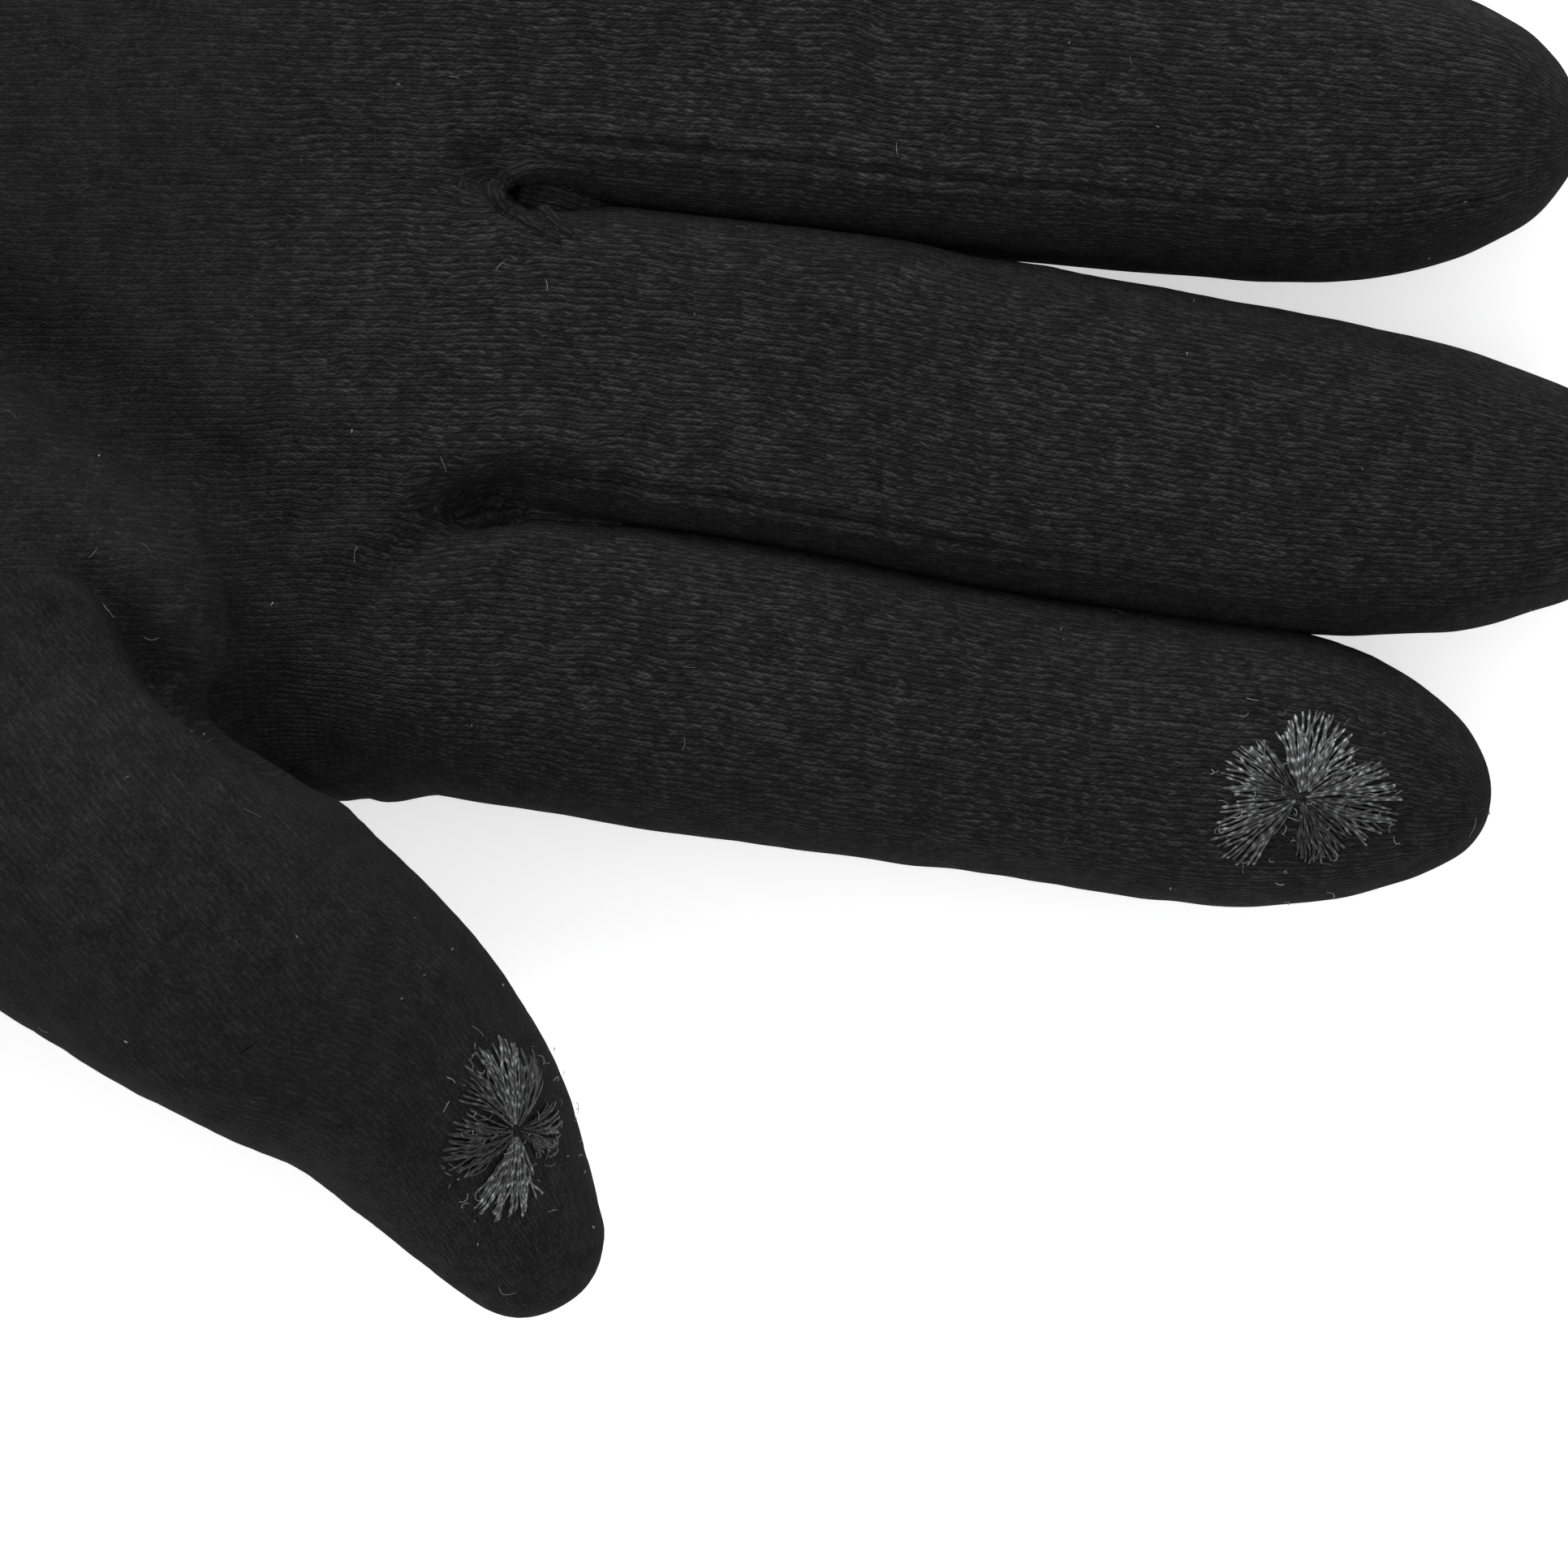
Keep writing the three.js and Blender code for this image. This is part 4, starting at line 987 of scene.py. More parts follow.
def build_finger(name):
    f = FINGERS[name]
    th, regions = column_angles(name)
    m = len(th)
    s0 = np.zeros(m)
    for _ in range(25):
        P = finger_points(name, s0, th)
        s0 += (cut_x(P[:, 1]) - P[:, 0]) / f["d"][0]
    S0 = s0.mean()
    L = f["L"]
    body = np.arange(S0, L - 9, RING_STEP)
    phi = np.linspace(0, math.pi / 2, int(9 * 1.5 / RING_STEP) + 1)[1:]
    tip = (L - 9) + 9 * np.sin(phi)
    h = f["hinges"]
    b0, b1 = (h[0] + h[1]) / 2, (h[1] + h[2]) / 2
    S = np.concatenate([[S0 - 1.2, S0 - 0.6], body, [L - 9], tip[:-1]])
    S = np.unique(np.round(S, 5))
    s = S[:, None] + (s0 - S0)[None, :] * (1 - smooth01((S - S0) / 13))[:, None]
    P = finger_points(name, s, np.broadcast_to(th, s.shape))
    apex_s = L
    c, w, zc, hh = finger_section(name, np.array([L]))
    apex = np.array([f["base"][0] + L * f["d"][0] + c[0] * f["lat"][0], f["base"][1] + L * f["d"][1] + c[0] * f["lat"][1], zc[0]])
    # normals of the smooth grid
    dth = np.roll(P, -1, 1) - np.roll(P, 1, 1)
    ds = np.gradient(P, axis=0)
    N = np.cross(dth, ds)
    N /= np.maximum(np.linalg.norm(N, axis=2), 1e-9)[..., None]
    if (N[len(S) // 2, int(m * 0.25), 2]) < 0:
        N = -N
    D = folds(P)
    arc = np.linalg.norm(np.roll(P, -1, 1) - P, axis=2)
    cum = np.concatenate([np.zeros((len(S), 1)), np.cumsum(arc, 1)], 1)
    fade = smooth01((s - S0 + 0.2) / 2.0) * smooth01((L - 3.0 - s) / 5.0)
    for reg, i0, i1 in regions:
        seam_here = {"palm": f["seam"], "minus": (f["seam"][1], f["back"][1]), "back": f["back"], "plus": (f["back"][0], f["seam"][0])}[reg]
        prev = {"palm": f["seam"][0], "minus": f["seam"][1], "back": f["back"][1], "plus": f["back"][0]}[reg]
        if prev is None:
            amp = 0.0 if name == "index" else 0.8
        else:
            amp = 0.3 if reg == "palm" else 1.0      # the seam on the far side lies at the finger's edge
        if amp == 0:
            continue
        a = cum[:, :-1] - cum[:, [i0]]
        total = cum[:, [-1]]
        a = (a + total / 2) % total - total / 2
        away = 1 - (0.65 if name == "middle" else 0.3) * smooth01((s - 26) / 18)
        D = D + fade * away * seam_groove(a, s + 0.7 * np.sin(s * 0.9), amp)
    V = P + N * D[..., None]
    flat_V = V.reshape(-1, 3)
    rows = len(S)
    V3 = np.vstack([flat_V, apex + np.array([f["d"][0], f["d"][1], 0]) * 0.0])
    i = np.arange(rows - 1)[:, None] * m
    j = np.arange(m)[None, :]
    j2 = (j + 1) % m
    quad = np.stack([i + j, i + j2, i + m + j2, i + m + j], -1)
    capj = np.arange(m)
    cap = np.stack([(rows - 1) * m + capj, (rows - 1) * m + (capj + 1) % m, np.full(m, rows * m)], 1)
    def tris(qs):
        qs = qs.reshape(-1, 4)
        return np.vstack([qs[:, [0, 1, 2]], qs[:, [0, 2, 3]]])
    allT = np.vstack([tris(quad), cap])
    Nv = vertex_normals(V3, allT)
    flip = (Nv[(rows // 2) * m + int(m * 0.25)][2] < 0)
    if flip:
        Nv = -Nv
    # grain: columns carry their place from the hand
    q = np.cos(th); q = np.sign(q) * np.abs(q) ** (2 / 2.3)
    ring = finger_points(name, s0, th)
    c_, w_, zc_, h_ = finger_section(name, s)
    top = (np.sin(th) >= 0)[None, :]
    drop = np.where(top, zc_ + h_ - P[..., 2], P[..., 2] - (zc_ - h_))
    wscale = w_ / np.maximum(finger_section(name, s0)[1], 1)[None, :]
    v = ring[None, :, 1] + (np.clip(q, -1, 1) ** 5)[None, :] * drop
    u = ring[None, :, 0] + (s - s0[None, :])
    grain = np.vstack([np.stack([u.ravel(), v.ravel(), np.zeros(u.size)], 1), [[u.max() + 1, v.mean(), 0]]])
    shade = 1.0 + 0.05 * BROAD(V3 * 0.7)
    start = 2      # rows 0 and 1 lie under the hand
    i5 = int(np.argmin(np.abs(S - 5.2)))
    r0 = int(np.argmin(np.abs(S - b0))); r1 = int(np.argmin(np.abs(S - b1)))
    out = []
    for seg, ra, rb in (("base", start, r0), ("middle", r0, r1), ("tip", r1, rows - 1)):
        for reg, i0, i1 in regions:
            if reg in ("plus", "minus") and ((reg == "plus" and f["seam"][0] is None) or (reg == "minus" and f["seam"][1] is None)):
                continue
            cols = np.arange(i0, i1) % m
            a, b = ra, rb
            if seg == "base" and reg in ("plus", "minus"):
                a = i5
                out.append(("crotch", reg, tris(quad[start:i5][:, cols])))
            qs = tris(quad[a:b][:, cols])
            if seg == "tip":
                qs = np.vstack([qs, cap[cols]])
            out.append((seg, reg, qs))
    if flip:
        out = [(a, b, t[:, ::-1]) for a, b, t in out]
    A = {"grain": grain, "lint": np.zeros(len(V3)), "shade": shade}
    return V3, Nv, out, A


# ------------------------------------------------------------------ the thumb stall
def build_thumb():
    # centre line from the cut on
    seg = np.linalg.norm(np.diff(TC, axis=0), axis=1)
    al = np.concatenate([[0], np.cumsum(seg)])
    base = al[4 * PER]
    stop = (al - base)[-1]
    out_dir = TC[-1] - TC[-2]
    out_dir /= np.linalg.norm(out_dir)
    s_of = lambda s: np.stack([np.interp(s, al - base, TC[:, k]) for k in range(3)], -1) + np.maximum(s - stop, 0)[:, None] * out_dir
    a, b = 0.0, 9.0
    for _ in range(24):
        mm = (a + b) / 2
        if thumb_field((TC[-1] + out_dir * mm)[None], upto=len(TC) - 1)[0] < 0:
            a = mm
        else:
            b = mm
    end = stop + a
    apex = TC[-1] + out_dir * a
    top_s = 1.5
    S = np.concatenate([[top_s - 1.0, top_s - 0.5], np.arange(top_s, end - 7, RING_STEP), end - 7 + 7 * np.sin(np.linspace(0, math.pi / 2, int(9 / RING_STEP) + 1)[:-1])])
    S = np.unique(np.round(S, 5))
    S = S[S < end - 0.02]
    C = s_of(S)
    T = s_of(S + 0.6) - s_of(S - 0.6)
    T /= np.linalg.norm(T, axis=1)[:, None]
    w = smooth01((S - 1.5) / 7)[:, None]
    T = THUMB_DIR * (1 - w) + T * w
    T /= np.linalg.norm(T, axis=1)[:, None]
    # ring 1.5 must lie in the cut plane through THUMB_CUT
    off = ((THUMB_CUT + THUMB_DIR * (S[:, None] - top_s) - C) @ THUMB_DIR)
    C = C + THUMB_DIR * (off * (1 - w[:, 0]))[:, None] if False else C + (1 - w) * (THUMB_CUT + THUMB_DIR * (S[:, None] - top_s) - C)
    side = np.cross([0, 0, 1.0], T); side /= np.linalg.norm(side, axis=1)[:, None]
    up = np.cross(T, side)
    m = int(58 / RING_STEP)
    th = np.arange(m) * 2 * np.pi / m
    dirs = side[:, None] * np.cos(th)[None, :, None] + up[:, None] * np.sin(th)[None, :, None]
    lo = np.zeros((len(S), m)); hi = np.full((len(S), m), 15.0)
    for _ in range(17):
        mid = (lo + hi) / 2
        F = thumb_field(C[:, None] + dirs * mid[..., None], upto=len(TC) - 1)
        neg = F < 0
        lo = np.where(neg, mid, lo); hi = np.where(neg, hi, mid)
    P = C[:, None] + dirs * ((lo + hi) / 2)[..., None]
    dth = np.roll(P, -1, 1) - np.roll(P, 1, 1)
    ds = np.gradient(P, axis=0)
    N = np.cross(dth, ds); N /= np.maximum(np.linalg.norm(N, axis=2), 1e-9)[..., None]
    if (N * dirs).sum(-1).mean() < 0:
        N = -N
    V = P + N * folds(P)[..., None]
    rows = len(S)
    V3 = np.vstack([V.reshape(-1, 3), apex])
    i = np.arange(rows - 1)[:, None] * m
    j = np.arange(m)[None, :]; j2 = (j + 1) % m
    quad = np.stack([i + j, i + j2, i + m + j2, i + m + j], -1)
    capj = np.arange(m)
    cap = np.stack([(rows - 1) * m + capj, (rows - 1) * m + (capj + 1) % m, np.full(m, rows * m)], 1)
    def tris(qs):
        qs = qs.reshape(-1, 4)
        return np.vstack([qs[:, [0, 1, 2]], qs[:, [0, 2, 3]]])
    allT = np.vstack([tris(quad), cap])
    Nv = vertex_normals(V3, allT)
    flip = (Nv[:-1] * dirs.reshape(-1, 3)).sum(1).mean() < 0
    if flip:
        Nv = -Nv
    r = P - C[:, None]
    g0 = grain_thumb(P[2])
    u = (S[:, None] - S[2]) + g0[None, :, 0]
    v = np.broadcast_to(g0[None, :, 1], u.shape)
    # the third grain number softens the stitches and paints the thumb darker, as shade; less so towards the tip
    grain = np.vstack([np.stack([u.ravel(), v.ravel(), 1.0 - 0.45 * smooth01((u.ravel() - 8) / 20)], 1), [[u.max(), 0, 0.55]]])
    k = int(np.argmin(np.abs(S - 8.0)))
    A = {"grain": grain, "lint": np.zeros(len(V3)), "shade": 1.0 + 0.05 * BROAD(V3 * 0.7)}
    t1, t2 = tris(quad[2:k]), np.vstack([tris(quad[k:]), cap])
    if flip:
        t1, t2 = t1[:, ::-1], t2[:, ::-1]
    return V3, Nv, t1, t2, A


# ------------------------------------------------------------------ the finish
def node(tree, kind, **values):
    n = tree.nodes.new(kind)
    for k, v in values.items():
        setattr(n, k, v)
    return n


def math_node(tree, op, a, b=None, c=None):
    n = tree.nodes.new("ShaderNodeMath")
    n.operation = op
    for i, v in enumerate((a, b, c)):
        if v is None:
            continue
        if isinstance(v, (int, float)):
            n.inputs[i].default_value = v
        else:
            tree.links.new(v, n.inputs[i])
    return n.outputs[0]


def knit(name, base, wale=0.46, course=0.50, depth=0.00018, turn=0.0):
    """Fine jersey: columns of V stitches along the cloth's grain, with a little fluff."""
    m = bpy.data.materials.new(name)
    m.use_nodes = True
    t = m.node_tree
    b = t.nodes["Principled BSDF"]
    g = node(t, "ShaderNodeAttribute", attribute_name="grain")
    sep = t.nodes.new("ShaderNodeSeparateXYZ")
    # a slight wander of the wales, so that the rows of stitches aren't ruled lines
    obj = t.nodes.new("ShaderNodeTexCoord")
    wander = node(t, "ShaderNodeTexNoise")
    wander.inputs["Scale"].default_value = 260.0
    wander.inputs["Detail"].default_value = 2.0
    t.links.new(obj.outputs["Object"], wander.inputs["Vector"])
    t.links.new(g.outputs["Vector"], sep.inputs[0])
    u0, v0 = sep.outputs[0], sep.outputs[1]
    w = math_node(t, "SUBTRACT", wander.outputs["Fac"], 0.5)
    u = math_node(t, "MULTIPLY_ADD", w, 0.9, u0)
    v = math_node(t, "MULTIPLY_ADD", w, 0.9, v0)
    q = math_node(t, "DIVIDE", v, wale)
    fr = math_node(t, "FRACT", q)
    ax = math_node(t, "ABSOLUTE", math_node(t, "SUBTRACT", fr, 0.5))
    row = math_node(t, "SINE", math_node(t, "MULTIPLY", fr, math.pi))
    legs = math_node(t, "MULTIPLY_ADD", math_node(t, "SINE", math_node(t, "MULTIPLY", ax, 2 * math.pi)), 0.55, 0.45)
    leg = math_node(t, "MULTIPLY", row, legs)
    ph = math_node(t, "MULTIPLY_ADD", ax, 1.6, math_node(t, "DIVIDE", u, course))
    wav = math_node(t, "MULTIPLY_ADD", math_node(t, "COSINE", math_node(t, "MULTIPLY", ph, 2 * math.pi)), 0.5, 0.5)
    st = math_node(t, "MULTIPLY", leg, math_node(t, "MULTIPLY_ADD", wav, 0.6, 0.4))
    lopsided = math_node(t, "MULTIPLY_ADD", math_node(t, "GREATER_THAN", fr, 0.5), 0.45, 0.75)
    st = math_node(t, "MULTIPLY", st, lopsided)
    cell = t.nodes.new("ShaderNodeCombineXYZ")
    t.links.new(math_node(t, "FLOOR", math_node(t, "ADD", ph, 0.5)), cell.inputs[0])
    t.links.new(math_node(t, "FLOOR", math_node(t, "MULTIPLY", q, 2.0)), cell.inputs[1])
    each = node(t, "ShaderNodeTexWhiteNoise", noise_dimensions="2D")
    t.links.new(cell.outputs[0], each.inputs["Vector"])
    vary = math_node(t, "MULTIPLY_ADD", math_node(t, "POWER", each.outputs["Value"], 2.0), 1.9, 0.45)
    soft = sep.outputs[2]
    st_paint = math_node(t, "MULTIPLY", st, vary)
    st_paint = math_node(t, "ADD", math_node(t, "MULTIPLY", st_paint, math_node(t, "MULTIPLY_ADD", soft, -0.6, 1.0)), math_node(t, "MULTIPLY", soft, 0.23))
    fuzz = node(t, "ShaderNodeTexNoise")
    fuzz.inputs["Scale"].default_value = 3800.0
    fuzz.inputs["Detail"].default_value = 3.0
    fuzz.inputs["Roughness"].default_value = 0.7
    t.links.new(obj.outputs["Object"], fuzz.inputs["Vector"])
    height = math_node(t, "MULTIPLY_ADD", fuzz.outputs["Fac"], 0.75, math_node(t, "MULTIPLY", st, math_node(t, "MULTIPLY_ADD", soft, -0.5, 1.0)))
    bump = t.nodes.new("ShaderNodeBump")
    bump.inputs["Strength"].default_value = 1.0
    bump.inputs["Distance"].default_value = depth
    t.links.new(height, bump.inputs["Height"])
    t.links.new(bump.outputs["Normal"], b.inputs["Normal"])
    # colour: worn-in charcoal, with painted shade in the knit: the raised legs of the stitches are painted lighter
    # and the gaps between them darker
    mott = node(t, "ShaderNodeTexNoise")
    mott.inputs["Scale"].default_value = 520.0
    mott.inputs["Detail"].default_value = 4.0
    mott.inputs["Roughness"].default_value = 0.65
    t.links.new(obj.outputs["Object"], mott.inputs["Vector"])
    shade = node(t, "ShaderNodeAttribute", attribute_name="shade")
    lint_a = node(t, "ShaderNodeAttribute", attribute_name="lint")
    k = math_node(t, "MULTIPLY_ADD", st_paint, 1.5, 0.38)
    # painted shade: where the softness is high, on the palm beside the thumb and on the thumb, the colour is painted
    # up to a fifth darker
    k = math_node(t, "MULTIPLY", k, math_node(t, "MULTIPLY_ADD", soft, -0.20, 1.0))
    k = math_node(t, "MULTIPLY", k, math_node(t, "MULTIPLY_ADD", mott.outputs["Fac"], 1.5, 0.25))
    # the shade attribute: a faint random tone, and on the hand panels painted shade in the creases
    k = math_node(t, "MULTIPLY", k, shade.outputs["Fac"])
    ff = math_node(t, "POWER", fuzz.outputs["Fac"], 6.0)
    k = math_node(t, "MULTIPLY_ADD", ff, 7.0, k)
    col = t.nodes.new("ShaderNodeMix"); col.data_type = "RGBA"
    col.blend_type = "MULTIPLY"
    col.inputs["Factor"].default_value = 1.0
    comb = t.nodes.new("ShaderNodeCombineColor")
    for i in range(3):
        t.links.new(k, comb.inputs[i])
    col.inputs["A"].default_value = (*base, 1.0)
    t.links.new(comb.outputs[0], col.inputs["B"])
    mix = t.nodes.new("ShaderNodeMix"); mix.data_type = "RGBA"
    t.links.new(col.outputs["Result"], mix.inputs["A"])
    mix.inputs["B"].default_value = (0.30, 0.30, 0.31, 1.0)
    t.links.new(lint_a.outputs["Fac"], mix.inputs["Factor"])
    t.links.new(mix.outputs["Result"], b.inputs["Base Color"])
    b.inputs["Roughness"].default_value = 0.92
    b.inputs["Specular IOR Level"].default_value = 0.03
    b.inputs["Sheen Weight"].default_value = 0.01
    b.inputs["Sheen Roughness"].default_value = 0.5
    b.inputs["Sheen Tint"].default_value = (0.9, 0.92, 1.0, 1.0)
    return m


def thread_material():
    m = bpy.data.materials.new("conductive_thread")
    m.use_nodes = True
    t = m.node_tree
    b = t.nodes["Principled BSDF"]
    a = node(t, "ShaderNodeAttribute", attribute_name="shade")
    obj = t.nodes.new("ShaderNodeTexCoord")
    n = node(t, "ShaderNodeTexNoise")
    n.inputs["Scale"].default_value = 5200.0
    n.inputs["Detail"].default_value = 3.0
    t.links.new(obj.outputs["Object"], n.inputs["Vector"])
    k = math_node(t, "MULTIPLY", a.outputs["Fac"], math_node(t, "MULTIPLY_ADD", n.outputs["Fac"], 1.0, 0.5))
    comb = t.nodes.new("ShaderNodeCombineColor")
    for i, c in enumerate((0.145, 0.147, 0.150)):
        t.links.new(math_node(t, "MULTIPLY", k, c), comb.inputs[i])
    t.links.new(comb.outputs[0], b.inputs["Base Color"])
    b.inputs["Roughness"].default_value = 0.5
    b.inputs["Metallic"].default_value = 0.25
    bump = t.nodes.new("ShaderNodeBump")
    bump.inputs["Strength"].default_value = 0.6
    bump.inputs["Distance"].default_value = 0.00005
    t.links.new(n.outputs["Fac"], bump.inputs["Height"])
    t.links.new(bump.outputs["Normal"], b.inputs["Normal"])
    return m


def plain_cloth(name, colour, scale, depth):
    m = bpy.data.materials.new(name)
    m.use_nodes = True
    t = m.node_tree
    b = t.nodes["Principled BSDF"]
    g = node(t, "ShaderNodeAttribute", attribute_name="grain")
    sep = t.nodes.new("ShaderNodeSeparateXYZ")
    t.links.new(g.outputs["Vector"], sep.inputs[0])
    u = math_node(t, "SINE", math_node(t, "MULTIPLY", sep.outputs[0], 2 * math.pi / scale))
    v = math_node(t, "SINE", math_node(t, "MULTIPLY", sep.outputs[1], 2 * math.pi / scale))
    h = math_node(t, "MULTIPLY", u, v)
    bump = t.nodes.new("ShaderNodeBump")
    bump.inputs["Strength"].default_value = 0.8
    bump.inputs["Distance"].default_value = depth
    t.links.new(h, bump.inputs["Height"])
    t.links.new(bump.outputs["Normal"], b.inputs["Normal"])
    k = math_node(t, "MULTIPLY_ADD", h, 0.18, 0.9)
    comb = t.nodes.new("ShaderNodeCombineColor")
    for i, c in enumerate(colour):
        t.links.new(math_node(t, "MULTIPLY", k, c), comb.inputs[i])
    t.links.new(comb.outputs[0], b.inputs["Base Color"])
    b.inputs["Roughness"].default_value = 0.85
    return m


KNIT = knit("jersey", (0.0155, 0.0155, 0.0159))
FOURCHETTE = knit("fourchette_jersey", (0.0152, 0.0152, 0.0156))
THREAD = thread_material()
ELASTIC = plain_cloth("elastic", (0.03, 0.03, 0.031), 0.9, 0.0002)
LABEL = plain_cloth("label", (0.75, 0.74, 0.72), 0.35, 0.00005)


def piece(name, V, N, T, A, material, nodes, fibres=0.0, seed=0):
    W, NN, F, used = closed_shell(V, N, T)
    attrs = {k: np.concatenate([a[used], a[used]]) for k, a in A.items()}
    parts = [(W, NN, F, attrs)]
    if fibres:
        parts += lint(V, N, T, A, fibres, seed)
    W, NN, F, attrs = merge(parts)
    ob = make(name, W, NN, F, attrs, material)
    for n in nodes:
        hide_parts(n)
    return ob


hand = build_hand()
for nm, seed in (("palm_panel", 21), ("back_panel", 22), ("thumb_gusset", 23)):
    V, N, T, A = hand[nm]
    ob = piece("glove_" + nm, V, N, T, A, KNIT, [nm], 0.9, seed)
    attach(ob, "hand")

FINGER_MESH = {}
crotch_parts = {}
OTHER = {("index", "plus"): "middle", ("middle", "minus"): "index", ("middle", "plus"): "ring", ("ring", "minus"): "middle", ("ring", "plus"): "little", ("little", "minus"): "ring"}
for fi, name in enumerate(NAMES):
    f = FINGERS[name]
    V, N, out, A = build_finger(name)
    FINGER_MESH[name] = (V, N, np.vstack([t for _, _, t in out]))
    h = f["hinges"]
    b0, b1 = (h[0] + h[1]) / 2, (h[1] + h[2]) / 2

    spans = {
        "base": ("hand", name + "_base", 6.4, min(2 * h[0] - 1.6, b0 - 0.6)),
        "middle": (name + "_base", name + "_middle", max(h[1] - 8.5, b0 + 0.4), min(h[1] + 8.5, b1 - 0.4)),
        "tip": (name + "_middle", name + "_tip", max(h[2] - 7.5, b1 + 0.4), h[2] + 7.5),
    }
    for seg, reg, T in out:
        if reg in ("plus", "minus"):
            other = OTHER[(name, reg)]
            if seg == "crotch":
                crotch_parts.setdefault(tuple(sorted((name, other), key=NAMES.index)), []).append((V, N, T, A))
                continue
            nodename = f"{name}_{seg}_fourchette_{other}_side"
            mat, sl = FOURCHETTE, "fourchette_knit"
        else:
            nodename = f"{name}_{seg}_{reg}_panel"
            mat, sl = KNIT, "knit"
        ob = piece("glove_" + nodename, V, N, T, A, mat, [nodename], 0.9 if reg == "palm" else 0.5, 100 + fi * 10 + len(PIECES))
        a, b, s_a, s_b = spans[seg]
        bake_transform(ob)

TV, TN, T1, T2, TA = build_thumb()
ob = piece("glove_thumb_base_segment", TV, TN, T1, TA, KNIT, ["thumb_base_segment"], 1.2, 61)
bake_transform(ob)
ob = piece("glove_thumb_tip_segment", TV, TN, T2, TA, KNIT, ["thumb_tip_segment"], 1.5, 62)
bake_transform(ob)


